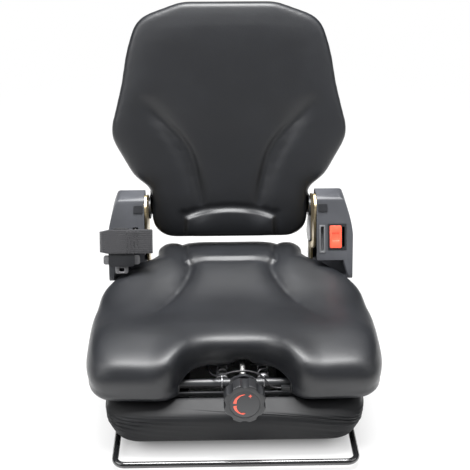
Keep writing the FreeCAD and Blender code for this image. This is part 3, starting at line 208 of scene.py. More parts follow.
def points_of(piece):
    """Places and normals of a mesh's points, as arrays."""
    co = np.empty(len(piece.data.vertices) * 3)
    piece.data.vertices.foreach_get("co", co)
    normals = np.empty(len(piece.data.vertices) * 3)
    piece.data.vertex_normals.foreach_get("vector", normals)
    return co.reshape(-1, 3), normals.reshape(-1, 3)


def set_points(piece, co):
    piece.data.vertices.foreach_set("co", np.ascontiguousarray(co, float).ravel())
    piece.data.update()


def mesh_piece(name, points, faces):
    mesh = bpy.data.meshes.new(name)
    mesh.from_pydata([tuple(p) for p in points], [], faces)
    mesh.update()
    piece = bpy.data.objects.new(name, mesh)
    bpy.context.scene.collection.objects.link(piece)
    return piece


def wall_of(rows, closed=False):
    """Points and faces of a wall between rows of points, which can close on themselves."""
    count = len(rows[0])
    faces = []
    for r in range(len(rows) - 1):
        low, high = r * count, (r + 1) * count
        for k in range(count if closed else count - 1):
            n = (k + 1) % count
            faces.append((low + k, low + n, high + n, high + k))
    return [point for row in rows for point in row], faces


def outward(piece):
    """Merges a mesh's doubles and turns its faces outwards."""
    in_edit_mode(piece, (bpy.ops.mesh.remove_doubles, {"threshold": MERGE_GAP}),
                 (bpy.ops.mesh.normals_make_consistent, {"inside": False}))


def round_curve(name, points, radius, sides, kind):
    """A round cord along the points, as a curve."""
    curve = bpy.data.curves.new(name, "CURVE")
    curve.dimensions = "3D"
    curve.bevel_depth = radius
    curve.bevel_resolution = sides
    curve.use_fill_caps = True
    spline = curve.splines.new(kind)
    spline.points.add(len(points) - 1)
    for point, place in zip(spline.points, points):
        point.co = (*place, 1)
    cord = bpy.data.objects.new(name, curve)
    bpy.context.scene.collection.objects.link(cord)
    return cord


def tube(name, points, radius):
    """A round thread through the points, as a mesh."""
    select_only(round_curve(name, points, radius, THREAD_SIDES, "POLY"))
    bpy.ops.object.convert(target="MESH")
    piece = bpy.context.object
    outward(piece)
    shade(piece)
    return piece


def joined(name, pieces):
    select_only(pieces[0])
    for piece in pieces[1:]:
        piece.select_set(True)
    if len(pieces) > 1:
        bpy.ops.object.join()
    pieces[0].name = name
    pieces[0].data.name = name
    return pieces[0]


def wear(piece, finish):
    piece.data.materials.clear()
    piece.data.materials.append(finish)


def settle(piece, body, finish=None, replaces=()):
    """Gives a finished piece its material and its place in the frame."""
    if finish is not None:
        wear(piece, finish)
    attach(piece, body)
    if replaces:
        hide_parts(*replaces)
    return piece


# Shader tools

class Socket:
    """A shader socket that takes part in Python expressions."""

    def __init__(self, finish, link):
        self.finish = finish
        self.link = link

    def maths(self, operation, other=0.0, swapped=False):
        pair = (other, self) if swapped else (self, other)
        return self.finish.node("ShaderNodeMath", {"operation": operation}, dict(enumerate(pair)))

    def __add__(self, other):
        return self.maths("ADD", other)

    def __sub__(self, other):
        return self.maths("SUBTRACT", other)

    def __rsub__(self, other):
        return self.maths("SUBTRACT", other, swapped=True)

    def __mul__(self, other):
        return self.maths("MULTIPLY", other)

    __radd__ = __add__
    __rmul__ = __mul__

    def span(self, low, high):
        """0 at low and 1 at high, eased between them."""
        settings = {"interpolation_type": "SMOOTHSTEP"}
        sockets = {"Value": self, "From Min": low, "From Max": high}
        return self.finish.node("ShaderNodeMapRange", settings, sockets)


class Finish:
    """One material, or the world round the seat; every node comes from its node method."""

    def __init__(self, name, kind="materials"):
        self.material = getattr(bpy.data, kind).new(name)
        self.material.use_nodes = True
        self.tree = self.material.node_tree
        self.tree.nodes.clear()

    def node(self, kind, settings=None, sockets=None, output=0):
        made = self.tree.nodes.new(kind)
        for key, value in (settings or {}).items():
            setattr(made, key, value)
        for key, value in (sockets or {}).items():
            if isinstance(value, Socket):
                self.tree.links.new(value.link, made.inputs[key])
            elif isinstance(value, tuple) and len(value) == 3 and made.inputs[key].type == "RGBA":
                made.inputs[key].default_value = (*value, 1)
            else:
                made.inputs[key].default_value = value
        return Socket(self, made.outputs[output]) if len(made.outputs) else None

    def place(self):
        return self.node("ShaderNodeTexCoord", output="Object")

    def uv(self):
        return self.node("ShaderNodeTexCoord", output="UV")

    def noise(self, scale, detail=3.0, rough=0.5, vector=None):
        sockets = {"Vector": vector or self.place(), "Scale": scale, "Detail": detail,
                   "Roughness": rough}
        return self.node("ShaderNodeTexNoise", None, sockets)

    def cells(self, scale):
        return self.node("ShaderNodeTexVoronoi", None, {"Vector": self.place(), "Scale": scale})

    def mix(self, share, first, second):
        sockets = {0: share, 6: first, 7: second}
        return self.node("ShaderNodeMix", {"data_type": "RGBA"}, sockets, output=2)

    def part(self, vector, axis):
        return self.node("ShaderNodeSeparateXYZ", None, {0: vector}, output=axis)

    def bump(self, height, strength, distance):
        sockets = {"Height": height, "Strength": strength, "Distance": distance}
        return self.node("ShaderNodeBump", None, sockets)

    def surface(self, **sockets):
        names = {key.replace("_", " "): value for key, value in sockets.items()}
        shader = self.node("ShaderNodeBsdfPrincipled", None, names, output="BSDF")
        self.node("ShaderNodeOutputMaterial", None, {"Surface": shader})
        return self.material


FINISHES = {}


def scaled(base, factor):
    return tuple(min(1.0, c * factor) for c in base)


def vinyl(base, grain):
    f = Finish("Pebbled vinyl")
    pebble = f.cells(1.0 / grain)
    fine = f.noise(2600.0, 2.0)
    wide = f.noise(9.0, 4.0, 0.6)
    creep = f.noise(70.0, 5.0, 0.62)
    height = (1.0 - pebble) * 0.75 + fine * 0.3 + creep * 0.5
    shade_of = f.mix(wide.span(0.35, 0.7), scaled(base, 0.86), scaled(base, 1.22))
    shade_of = f.mix(pebble.span(0.3, 0.75) * 0.35, shade_of, scaled(base, 0.55))
    rough = 0.38 + wide * 0.1 + fine * 0.08
    return f.surface(Base_Color=shade_of, Roughness=rough, Specular_IOR_Level=0.5,
                     Normal=f.bump(height, 0.32, 0.00045))


def moulding(name, base, rough=0.46, grit=1500.0):
    f = Finish(name)
    spark = f.noise(grit, 2.0, 0.6)
    wide = f.noise(16.0, 4.0, 0.6)
    scuff = f.noise(190.0, 6.0, 0.7).span(0.62, 0.78)
    shade_of = f.mix(wide.span(0.3, 0.7), scaled(base, 0.9), scaled(base, 1.15))
    shade_of = f.mix(scuff * 0.22, shade_of, scaled(base, 1.9))
    rough = rough + wide * 0.1 + scuff * 0.06
    return f.surface(Base_Color=shade_of, Roughness=rough, Normal=f.bump(spark, 0.2, 0.0003))


def powder_coat(name, base):
    f = Finish(name)
    peel = f.noise(420.0, 2.0)
    dust = f.noise(22.0, 5.0, 0.65).span(0.5, 0.75)
    shade_of = f.mix(dust * 0.25, base, scaled(base, 2.4))
    return f.surface(Base_Color=shade_of, Roughness=0.4 + dust * 0.16,
                     Normal=f.bump(peel, 0.22, 0.0004))


def gloss_paint(name, base):
    f = Finish(name)
    peel = f.noise(260.0, 2.0)
    dust = f.noise(34.0, 5.0, 0.65).span(0.55, 0.8)
    shade_of = f.mix(dust * 0.2, base, scaled(base, 3.0))
    return f.surface(Base_Color=shade_of, Roughness=0.22 + dust * 0.15, Coat_Weight=0.5,
                     Coat_Roughness=0.1, Normal=f.bump(peel, 0.12, 0.0003))


def plated(name, base, rough=0.32, tint=None):
    f = Finish(name)
    cloud = f.noise(60.0, 5.0, 0.6)
    stretched = f.node("ShaderNodeMapping", None, {"Vector": f.place(), "Scale": (1.0, 0.06, 1.0)})
    brushed = f.noise(1300.0, 2.0, 0.6, stretched)
    shade_of = f.mix(cloud.span(0.3, 0.72), scaled(base, 0.8), tint or scaled(base, 1.15))
    return f.surface(Base_Color=shade_of, Metallic=1.0, Roughness=rough + cloud * 0.14,
                     Normal=f.bump(brushed, 0.1, 0.0002))


def chromed(name):
    f = Finish(name)
    haze = f.noise(90.0, 4.0, 0.6)
    return f.surface(Base_Color=(0.80, 0.81, 0.83), Metallic=1.0, Roughness=0.07 + haze * 0.07)


def screw_thread(name, base, pitch):
    f = Finish(name)
    along = f.part(f.place(), "Y")
    ridge = (along * (2 * math.pi / pitch)).maths("SINE")
    cloud = f.noise(80.0, 4.0, 0.6)
    shade_of = f.mix(cloud.span(0.3, 0.7), scaled(base, 0.75), scaled(base, 1.1))
    return f.surface(Base_Color=shade_of, Metallic=1.0, Roughness=0.34 + cloud * 0.12,
                     Normal=f.bump(ridge, 0.8, 0.0006))


def rubber(name, base):
    f = Finish(name)
    fine = f.noise(1700.0, 3.0, 0.6)
    bloom = f.noise(13.0, 5.0, 0.65)
    shade_of = f.mix(bloom.span(0.35, 0.75) * 0.6, scaled(base, 0.9), scaled(base, 1.8))
    rough = 0.47 + bloom * 0.16 + fine * 0.06
    return f.surface(Base_Color=shade_of, Roughness=rough, Specular_IOR_Level=0.3,
                     Normal=f.bump(fine, 0.25, 0.0003))


def woven(name, base, ribs):
    """Belt webbing; its map runs across and along the strap in metres."""
    f = Finish(name)
    across = f.part(f.uv(), "X")
    along = f.part(f.uv(), "Y")
    warp = (across * (2 * math.pi * ribs)).maths("SINE")
    twill = ((across * 900.0 + along * 1500.0) * (2 * math.pi / 1.8)).maths("SINE")
    fuzz = f.noise(2400.0, 3.0, 0.7)
    height = warp * 0.45 + twill * 0.5 + fuzz * 0.5
    shade_of = f.mix(twill.span(-0.8, 0.9) * 0.6 + fuzz * 0.3, scaled(base, 0.7), scaled(base, 2.3))
    return f.surface(Base_Color=shade_of, Roughness=0.72 + fuzz * 0.15, Sheen_Weight=0.25,
                     Sheen_Roughness=0.5, Normal=f.bump(height, 0.6, 0.0006))


def thread_finish(name, base):
    f = Finish(name)
    twist = f.noise(2600.0, 3.0, 0.6)
    shade_of = f.mix(twist, scaled(base, 0.7), scaled(base, 1.5))
    return f.surface(Base_Color=shade_of, Roughness=0.6, Sheen_Weight=0.3,
                     Normal=f.bump(twist, 0.5, 0.0003))


def signal_plastic(name, base):
    f = Finish(name)
    wide = f.noise(40.0, 3.0, 0.6)
    spark = f.noise(1800.0, 2.0)
    shade_of = f.mix(wide.span(0.3, 0.7), scaled(base, 0.9), scaled(base, 1.08))
    return f.surface(Base_Color=shade_of, Roughness=0.34 + wide * 0.1,
                     Normal=f.bump(spark, 0.12, 0.0003))


def make_finishes(sizes, colours):
    coat = tuple(colours.coating)
    plastic = tuple(colours.moulding)
    zinc = tuple(colours.zinc)
    FINISHES.update(
        vinyl=vinyl(tuple(colours.vinyl), sizes.grain),
        moulding=moulding("Textured moulding", plastic),
        smooth_moulding=moulding("Smooth moulding", scaled(plastic, 0.36), 0.34, 2300.0),
        black_moulding=moulding("Black moulding", scaled(plastic, 0.26), 0.36, 1900.0),
        grey_moulding=moulding("Grey insert", (0.10, 0.103, 0.108), 0.42, 1500.0),
        pale_moulding=moulding("Natural nylon", (0.55, 0.53, 0.45), 0.4, 1500.0),
        coat=powder_coat("Black powder coat", coat),
        gloss=gloss_paint("Gloss black paint", (0.0075, 0.0078, 0.0085)),
        zinc=plated("Clear zinc", zinc),
        steel=plated("Cold rolled steel", scaled(zinc, 0.9), 0.36),
        passivate=plated("Yellow passivate", tuple(colours.passivate), 0.34, (0.60, 0.50, 0.36)),
        chrome=chromed("Ground chrome"),
        spring=plated("Spring wire", (0.30, 0.30, 0.31), 0.36),
        thread_steel=screw_thread("Threaded spindle", scaled(zinc, 0.85), 0.0025),
        rubber=rubber("Moulded rubber", tuple(colours.rubber)),
        webbing=woven("Belt webbing", (0.011, 0.011, 0.013), 260.0),
        sewing=thread_finish("Sewing thread", (0.05, 0.05, 0.054)),
        signal=signal_plastic("Signal red", tuple(colours.signal)),
        cable=moulding("Cable sheath", (0.010, 0.010, 0.012), 0.4, 2600.0),
    )


CAD_SHARP = 32

NODE_FINISHES = {
    "zinc": "rail_bolts latch_plates bar_pivot_pins scissor_centre_pins upper_pivot_pins "
            "damper_lower_bolt damper_upper_bolt recline_lever",
    "steel": "lower_rails upper_rails backrest_shell_screws",
    "passivate": "side_plates side_plate_bolts recline_pivot_bolts",
    "chrome": "rail_balls damper_rod",
    "spring": "bar_springs",
    "thread_steel": "adjuster_spindle",
    "coat": "base_frame outer_scissor_link inner_scissor_link upper_frame seat_pan backrest_frame "
            "spring_yoke",
    "gloss": "slide_release_bar damper_tube",
    "rubber": "bump_stops",
    "pale_moulding": "rail_ball_cages lower_rollers upper_rollers",
    "black_moulding": "rail_end_stops pivot_bushes buckle_housing belt_retractor seat_switch "
                      "cable_plug",
}


class SEAT_OT_finishes(bpy.types.Operator):
    """Makes the materials and gives them to the pieces that keep their CAD form"""

    bl_idname = "seat.finishes"
    bl_label = "Finishes"

    def execute(self, context):
        make_finishes(context.scene.seat_sizes, context.scene.seat_colours)
        for finish, names in NODE_FINISHES.items():
            for name in names.split():
                wear(NODES[name], FINISHES[finish])
                shade(NODES[name], CAD_SHARP)
        return {"FINISHED"}


# Pads

# The cover is drawn in before it swells, and rises by these shares of the swell that is set
SHRINK, RISE_LEAST, RISE_MOST = 0.58, 0.6, 1.1
PIN_SHARE, LEAST_PIN, LEAST_RELAX = 1.2, 0.02, 0.01
EVENING_STEPS, CLOTH_STEPS = 40, 20
RELAX_FACTOR, SEAT_RELAX, NOSE_RELAX, BACK_RELAX = 0.5, 6, 44, 8
CLOTH = {
    "quality": 4, "use_pressure": True, "uniform_pressure_force": 4.0,
    "tension_stiffness": 12.0, "bending_stiffness": 0.4, "vertex_group_mass": "sewn",
}


def point_group(piece, name, share, least):
    """A vertex group of the points whose share, from 0 to 1, is over least."""
    group = piece.vertex_groups.new(name=name)
    for index in np.nonzero(share > least)[0]:
        group.add([int(index)], float(share[index]), "REPLACE")
    return group


def relax(piece, repeat, share=None):
    """Smooths a mesh, by a share from 0 to 1 at each point if that is given."""
    if share is None:
        apply_modifier(piece, "SMOOTH", factor=RELAX_FACTOR, iterations=repeat)
        return
    point_group(piece, "relaxed", share, LEAST_RELAX)
    apply_modifier(piece, "SMOOTH", factor=RELAX_FACTOR, iterations=repeat, vertex_group="relaxed")
    piece.vertex_groups.remove(piece.vertex_groups["relaxed"])


def remeshed(node, name, voxel, repeat):
    """A pad's CAD form as one even mesh, with its edges softened."""
    pad = copy_of(node, name)
    pad.data.remesh_voxel_size = voxel
    bpy.ops.object.voxel_remesh()
    relax(pad, repeat)
    return pad


def swollen(piece, sewn, fixed, swell):
    """Swells a pad as foam under its cover. Both shares are 1 where the cover can't move."""
    start, normals = points_of(piece)
    start = start - normals * (swell * SHRINK * (1 - soft_step(fixed, 0.0, 1.0)))[:, None]
    set_points(piece, start)
    free = swell * (1 - sewn) * (1 - fixed)
    pin = np.clip(np.maximum(sewn * PIN_SHARE, fixed), 0, 1)
    group = point_group(piece, "sewn", pin, LEAST_PIN)
    cloth = add_modifier(piece, "CLOTH")
    for key, value in CLOTH.items():
        setattr(cloth.settings, key, value)
    cloth.settings.effector_weights.gravity = 0.0
    cloth.point_cache.frame_start = 1
    cloth.point_cache.frame_end = CLOTH_STEPS
    scene = bpy.context.scene
    for step in range(1, CLOTH_STEPS + 1):
        scene.frame_set(step)
    graph = bpy.context.evaluated_depsgraph_get()
    moved = np.empty(len(start) * 3)
    piece.evaluated_get(graph).data.vertices.foreach_get("co", moved)
    moved = moved.reshape(-1, 3)
    piece.modifiers.remove(cloth)
    piece.vertex_groups.remove(group)
    scene.frame_set(1)
    rise = ((moved - start) * normals).sum(axis=1)
    rise = evened(piece, np.clip(rise, free * RISE_LEAST, free * RISE_MOST))
    set_points(piece, start + normals * rise[:, None])


def evened(piece, values):
    """Spreads values over the points of a mesh, as taut vinyl spreads its wrinkles."""
    pairs = np.empty(len(piece.data.edges) * 2, dtype=np.int64)
    piece.data.edges.foreach_get("vertices", pairs)
    a, b = pairs.reshape(-1, 2).T
    count = len(values)
    degree = np.maximum(np.bincount(a, minlength=count) + np.bincount(b, minlength=count), 1)
    for _ in range(EVENING_STEPS):
        near = np.bincount(a, values[b], minlength=count) + np.bincount(b, values[a], minlength=count)
        values = 0.5 * values + 0.5 * near / degree
    return values


# Sewn lines as (across, along, depth). A line that stays on one side is sewn on both.
SEAT_LINES = [
    [(0.104, 0.262, 0.9), (0.096, 0.243, 1.0), (0.090, 0.200, 1.0), (0.087, 0.157, 1.0),
     (0.080, 0.128, 0.95), (0.086, 0.090, 0.85), (0.101, 0.046, 0.7), (0.133, -0.023, 0.5),
     (0.152, -0.062, 0.3), (0.172, -0.100, 0.0)],
    [(-0.086, 0.150, 0.5), (-0.04, 0.143, 0.45), (0.0, 0.141, 0.4), (0.04, 0.143, 0.45),
     (0.086, 0.150, 0.5)],
]
BACK_LINES = [
    [(0.163, 0.281, 0.0), (0.139, 0.250, 0.5), (0.100, 0.209, 0.9), (0.078, 0.172, 1.0),
     (0.067, 0.123, 0.95), (0.059, 0.076, 0.6), (0.057, 0.062, 0.3)],
    [(-0.092, 0.049, 0.9), (-0.05, 0.061, 0.8), (0.0, 0.066, 0.75), (0.05, 0.061, 0.8),
     (0.092, 0.049, 0.9)],
    [(0.094, 0.052, 0.9), (0.096, 0.030, 0.9), (0.097, 0.0, 0.9)],
]
HOLLOW_DEPTH, HOLLOW_WIDTH = 0.28, 3.2


def mirrored_lines(lines):
    both = []
    for line in lines:
        both.append(line)
        if line[0][0] * line[-1][0] > 0:
            both.append([(-x, along, depth) for x, along, depth in line])
    return [curved(line) for line in both]


def nearest_line(flat, lines, width):
    return np.max([nearness(flat, line, width) for line in lines], axis=0)


def carve(piece, flat, facing, lines, sizes):
    """Presses the sewn creases in, each with the shallow hollow beside it."""
    co, normals = points_of(piece)
    width = sizes.crease_width
    cuts = []
    for line in lines:
        hollow = nearness(flat, line, width * HOLLOW_WIDTH)
        cuts.append(nearness(flat, line, width) + HOLLOW_DEPTH * hollow)
    cut = np.max(cuts, axis=0) * sizes.crease_depth * facing
    set_points(piece, co - normals * cut[:, None])


# A pair is a range over which a change eases in: a facing, a height, or a place across or along
SEAM_FACING, TOP_FACING, UNDER_FACING = (0.2, 0.6), (0.15, 0.6), (-0.45, -0.1)
NOSE_HEIGHT, NOSE_ALONG = (0.112, 0.140), (0.02, 0.12)
HEM_HEIGHT = (0.100, 0.124)
CORNER_ACROSS, CORNER_ALONG = (0.140, 0.147), (0.15, 0.19)
WAIST, WAIST_ALONG, WAIST_FLARE, WAIST_POWER = 0.080, 0.128, 0.505, 1.6
ROLL_RISE, ROLL_WIDTH, ROLL_ALONG = 0.0052, 0.020, (0.13, 0.18)
LOBE_DROP, LOBE_ACROSS, LOBE_ALONG = 0.010, (0.085, 0.150), (0.10, 0.215)
LOBE_HEIGHT = (0.125, 0.170)
PANEL_LIP, PANEL_FRONT, PANEL_SIDE = 0.0045, (0.139, 0.151), (0.086, 0.094)
PANEL_FADE = (0.17, 0.25)


class SEAT_OT_seat_pad(bpy.types.Operator):
    """Seat cushion: foam swollen under a sewn vinyl cover, with its creases and rear panel"""

    bl_idname = "seat.seat_pad"
    bl_label = "Seat Pad"

    def execute(self, context):
        sizes = context.scene.seat_sizes
        pad = remeshed("seat_cushion", "seat_pad", sizes.voxel, SEAT_RELAX)
        co, normals = points_of(pad)
        nose = soft_step(co[:, 2], *NOSE_HEIGHT) * (1 - soft_step(co[:, 1], *NOSE_ALONG))
        relax(pad, NOSE_RELAX, nose)
        lines = mirrored_lines(SEAT_LINES)
        co, normals = points_of(pad)
        sewn = nearest_line(co[:, :2], lines, sizes.crease_width)
        sewn *= soft_step(normals[:, 2], *SEAM_FACING)
        hem = soft_step(co[:, 2], *HEM_HEIGHT)
        under = 1 - np.minimum(hem, soft_step(normals[:, 2], *UNDER_FACING))
        corner = soft_step(np.abs(co[:, 0]), *CORNER_ACROSS) * soft_step(co[:, 1], *CORNER_ALONG)
        swollen(pad, sewn, np.maximum(under, corner), sizes.swell)
        apply_modifier(pad, "SUBSURF", levels=1, render_levels=1)

        co, normals = points_of(pad)
        facing = soft_step(normals[:, 2], *TOP_FACING)
        across, along = np.abs(co[:, 0]), co[:, 1]
        seam = WAIST + WAIST_FLARE * np.abs(along - WAIST_ALONG) ** WAIST_POWER
        roll = np.exp(-(((across - seam) / ROLL_WIDTH) ** 2)) * soft_step(along, *ROLL_ALONG)
        co[:, 2] += ROLL_RISE * roll * facing
        lobe = soft_step(across, *LOBE_ACROSS) * soft_step(-along, *LOBE_ALONG)
        co[:, 2] -= LOBE_DROP * lobe * soft_step(co[:, 2], *LOBE_HEIGHT)
        panel = soft_step(along, *PANEL_FRONT) * (1 - soft_step(across, *PANEL_SIDE))
        co[:, 2] += PANEL_LIP * panel * (1 - soft_step(along, *PANEL_FADE)) * facing
        set_points(pad, co)
        carve(pad, co[:, :2], facing, lines, sizes)
        shade(pad)
        settle(pad, "seat_frame", FINISHES["vinyl"], ["seat_cushion"])
        return {"FINISHED"}


REAR_DEPTH = (0.026, 0.040)
LUMBAR_TOP, LUMBAR_ARCH, LUMBAR_LIP = 0.066, 1.95, 0.0050
LUMBAR_EDGE, LUMBAR_SIDE, LUMBAR_FOOT = (-0.001, 0.011), (0.086, 0.096), (0.002, 0.016)


class SEAT_OT_back_pad(bpy.types.Operator):
    """Backrest cushion with its two long creases and the lumbar pad"""

    bl_idname = "seat.back_pad"
    bl_label = "Backrest Pad"

    def execute(self, context):
        sizes = context.scene.seat_sizes
        pad = remeshed("backrest_cushion", "back_pad", sizes.voxel, BACK_RELAX)
        lines = mirrored_lines(BACK_LINES)
        flat, deep, facing = self.local(*points_of(pad))
        sewn = nearest_line(flat, lines, sizes.crease_width) * soft_step(facing, *SEAM_FACING)
        swollen(pad, sewn, soft_step(deep, *REAR_DEPTH), sizes.swell)
        apply_modifier(pad, "SUBSURF", levels=1, render_levels=1)

        co, normals = points_of(pad)
        flat, deep, facing = self.local(co, normals)
        facing = soft_step(facing, *TOP_FACING)
        u, v = np.abs(flat[:, 0]), flat[:, 1]
        arch = LUMBAR_TOP - LUMBAR_ARCH * u ** 2
        lumbar = soft_step(arch - v, *LUMBAR_EDGE) * (1 - soft_step(u, *LUMBAR_SIDE))
        lumbar *= soft_step(v, *LUMBAR_FOOT)
        set_points(pad, co + normals * (LUMBAR_LIP * lumbar * facing)[:, None])
        carve(pad, flat, facing, lines, sizes)
        shade(pad)
        settle(pad, "backrest", FINISHES["vinyl"], ["backrest_cushion"])
        return {"FINISHED"}

    def local(self, co, normals):
        """Place on the backrest's face, depth into the pad, and how far a normal faces the front."""
        d = co - np.array(BACK_ORIGIN)
        s, c = math.sin(BACK_TILT), math.cos(BACK_TILT)
        flat = np.stack([d[:, 0], d[:, 1] * s + d[:, 2] * c], axis=1)
        return flat, d[:, 1] * c - d[:, 2] * s, -(normals[:, 1] * c - normals[:, 2] * s)


# Boot

# Half width, front, rear, height, share of the fold's sag
BOOT_LEVELS = [
    (0.2045, -0.2490, 0.1705, 0.0342, 0.0), (0.2070, -0.2518, 0.1720, 0.0355, 0.0),
    (0.2085, -0.2515, 0.1725, 0.0385, 0.0), (0.2120, -0.2522, 0.1750, 0.0440, 0.1),
    (0.2190, -0.2535, 0.1808, 0.0570, 0.4), (0.2225, -0.2530, 0.1825, 0.0680, 0.8),
    (0.2238, -0.2520, 0.1832, 0.0755, 1.0), (0.2235, -0.2498, 0.1828, 0.0795, 1.0),
    (0.2215, -0.2462, 0.1805, 0.0825, 1.0), (0.2190, -0.2420, 0.1790, 0.0845, 0.9),
    (0.2165, -0.2330, 0.1765, 0.0872, 0.6), (0.2140, -0.2250, 0.1745, 0.0905, 0.3),
    (0.2125, -0.2150, 0.1690, 0.0940, 0.1), (0.2122, -0.2122, 0.1672, 0.0960, 0.0),
]
BOOT_CORNER, BOOT_WALL, BOOT_SPACING = 0.046, 0.0028, 0.012
CORNER_STEPS = 24
SAG, SAG_REACH, SAG_POWER, SAG_REAR = 0.011, 0.2, 2.5, 0.6


def rounded_ring(half, front, rear, corner):
    """Points of a rounded rectangle, from the rear end of its +X side."""
    ring = []
    centres = [(half - corner, rear - corner, 0), (-half + corner, rear - corner, 90),
               (-half + corner, front + corner, 180), (half - corner, front + corner, 270)]
    for cx, cy, start in centres:
        for k in range(CORNER_STEPS + 1):
            angle = math.radians(start + 90 * k / CORNER_STEPS)
            ring.append((cx + corner * math.cos(angle), cy + corner * math.sin(angle)))
    return ring


class SEAT_OT_boot(bpy.types.Operator):
    """Rubber boot round the suspension, with its hem and its one soft fold"""

    bl_idname = "seat.boot"
    bl_label = "Boot"

    def execute(self, context):
        rings = []
        for half, front, rear, z, dip in BOOT_LEVELS:
            ring = []
            for x, y in self.filled(rounded_ring(half, front, rear, BOOT_CORNER)):
                side = min(abs(x) / SAG_REACH, 1.0) ** SAG_POWER
                ring.append((x, y, z - SAG * dip * side * (1.0 if y < 0 else SAG_REAR)))
            rings.append(ring)
        boot = mesh_piece("boot_skirt", *wall_of(rings, closed=True))
        outward(boot)
        apply_modifier(boot, "SOLIDIFY", thickness=BOOT_WALL, offset=-1.0)
        apply_modifier(boot, "SUBSURF", levels=1, render_levels=1)
        shade(boot, 60)
        settle(boot, "slide_carriage", FINISHES["rubber"], ["suspension_boot"])
        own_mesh(boot)
        return {"FINISHED"}

    def filled(self, ring):
        """The ring with its straight runs divided."""
        out = []
        for a, b in zip(ring, ring[1:] + ring[:1]):
            gap = math.dist(a, b)
            if gap < MERGE_GAP:
                continue
            steps = max(1, round(gap / BOOT_SPACING))
            for k in range(steps):
                out.append((a[0] + (b[0] - a[0]) * k / steps, a[1] + (b[1] - a[1]) * k / steps))
        return out


# Mouldings with rounded edges

# CAD node, body, finish, share of the moulded edge
SOFTENED = [
    ("right_restraint_shell", "seat_frame", "moulding", 4.6),
    ("left_restraint_shell", "seat_frame", "moulding", 4.6),
    ("restraint_caps", "seat_frame", "smooth_moulding", 0.35),
    ("right_slot_insert", "seat_frame", "grey_moulding", 0.3),
    ("left_belt_bezel", "seat_frame", "smooth_moulding", 0.35),
    ("buckle_button", "button", "signal", 0.6),
    ("belt_tongue", "seat_frame", "spring", 0.3),
    ("tongue_sleeve", "seat_frame", "black_moulding", 0.9),
    ("backrest_shell", "backrest", "moulding", 0.8),
    ("adjuster_knob", "weight_knob", "black_moulding", 1.0),
    ("knob_dial", "weight_knob", "smooth_moulding", 0.3),
    ("adjuster_housing", "seat_frame", "black_moulding", 0.7),
    ("recline_lever_grip", "recline_handle", "black_moulding", 0.4),
]
FLAT_ANGLE = math.radians(0.6)
EDGE_ANGLE = math.radians(38)

RESTRAINT_PARTS = ("right_restraint_shell", "left_restraint_shell", "restraint_caps")
RESTRAINT_BEND, RESTRAINT_REAR, RESTRAINT_INNER = 0.250, 0.216, 0.1683
RESTRAINT_SLICES = [0.232 + 0.006 * k for k in range(14)]
TOP_SHARE, FRONT_LIMIT = 0.24, 1.05
CURVE_START, CURVE_RISE, CURVE_SHARE = 0.02, 0.088, 0.13
OUTER_ACROSS, OUTER_UP = 0.2325, 0.100
OPENING_WEIGHT = 0.2


def sliced(piece, heights):
    """Cuts a mesh along level lines, so that its walls can be curved."""
    mesh = bmesh.new()
    mesh.from_mesh(piece.data)
    for z in heights:
        whole = mesh.verts[:] + mesh.edges[:] + mesh.faces[:]
        bmesh.ops.bisect_plane(mesh, geom=whole, plane_co=(0, 0, z), plane_no=(0, 0, 1))
    mesh.to_mesh(piece.data)
    mesh.free()


def lowered(piece):
    """Brings the top of a restraint down along its leaning face and curves its outer side in."""
    co = points_of(piece)[0]
    side = np.sign(co[:, 0])
    high = np.clip((co[:, 2] - RESTRAINT_BEND + CURVE_START) / CURVE_RISE, 0, 1)
    out = np.abs(co[:, 0]) - RESTRAINT_INNER
    co[:, 0] = side * (RESTRAINT_INNER + out * np.where(out > 0, 1 - CURVE_SHARE * high ** 3, 1))
    z = co[:, 2]
    down = np.maximum(z - RESTRAINT_BEND, 0.0) * TOP_SHARE
    face = FACE_ORIGIN.y + (z - FACE_ORIGIN.z) * math.tan(FACE_LEAN)
    share = np.clip((RESTRAINT_REAR - co[:, 1]) / (RESTRAINT_REAR - face), 0, FRONT_LIMIT)
    co[:, 1] -= down * math.tan(FACE_LEAN) * share
    co[:, 2] -= down
    set_points(piece, co)


def weigh_edges(piece):
    """Full bevel on the outer edges of a restraint, a small one round its openings."""
    turn = Matrix.Rotation(FACE_LEAN, 3, "X")
    local = (points_of(piece)[0] - np.array(FACE_ORIGIN)) @ np.array(turn).T
    outer = (np.abs(local[:, 0]) > OUTER_ACROSS) | (local[:, 2] > OUTER_UP)
    weights = piece.data.attributes.new("bevel_weight_edge", "FLOAT", "EDGE")
    mesh = bmesh.new()
    mesh.from_mesh(piece.data)
    for bend, edge in zip(mesh.edges, piece.data.edges):
        if bend.calc_face_angle(0.0) >= EDGE_ANGLE:
            full = all(outer[index] for index in edge.vertices)
            weights.data[edge.index].value = 1.0 if full else OPENING_WEIGHT
    mesh.free()


class SEAT_OT_mouldings(bpy.types.Operator):
    """Plastic mouldings, with the small radii that a tool leaves on their edges"""

    bl_idname = "seat.mouldings"
    bl_label = "Mouldings"

    def execute(self, context):
        for node, body, finish, share in SOFTENED:
            piece = copy_of(node, node + "_moulded")
            in_edit_mode(piece, (bpy.ops.mesh.dissolve_limited, {"angle_limit": FLAT_ANGLE}))
            width = context.scene.seat_sizes.edge * share
            if node in RESTRAINT_PARTS:
                sliced(piece, RESTRAINT_SLICES)
                lowered(piece)
            if node in RESTRAINT_PARTS[:2]:
                weigh_edges(piece)
                apply_modifier(piece, "BEVEL", width=width, segments=5, limit_method="WEIGHT")
            else:
                apply_modifier(piece, "BEVEL", width=width, segments=3, limit_method="ANGLE",
                               angle_limit=EDGE_ANGLE)
            shade(piece, 40)
            settle(piece, body, FINISHES[finish], [node])
        return {"FINISHED"}


# Springs

HOOK_END_Y = -0.190


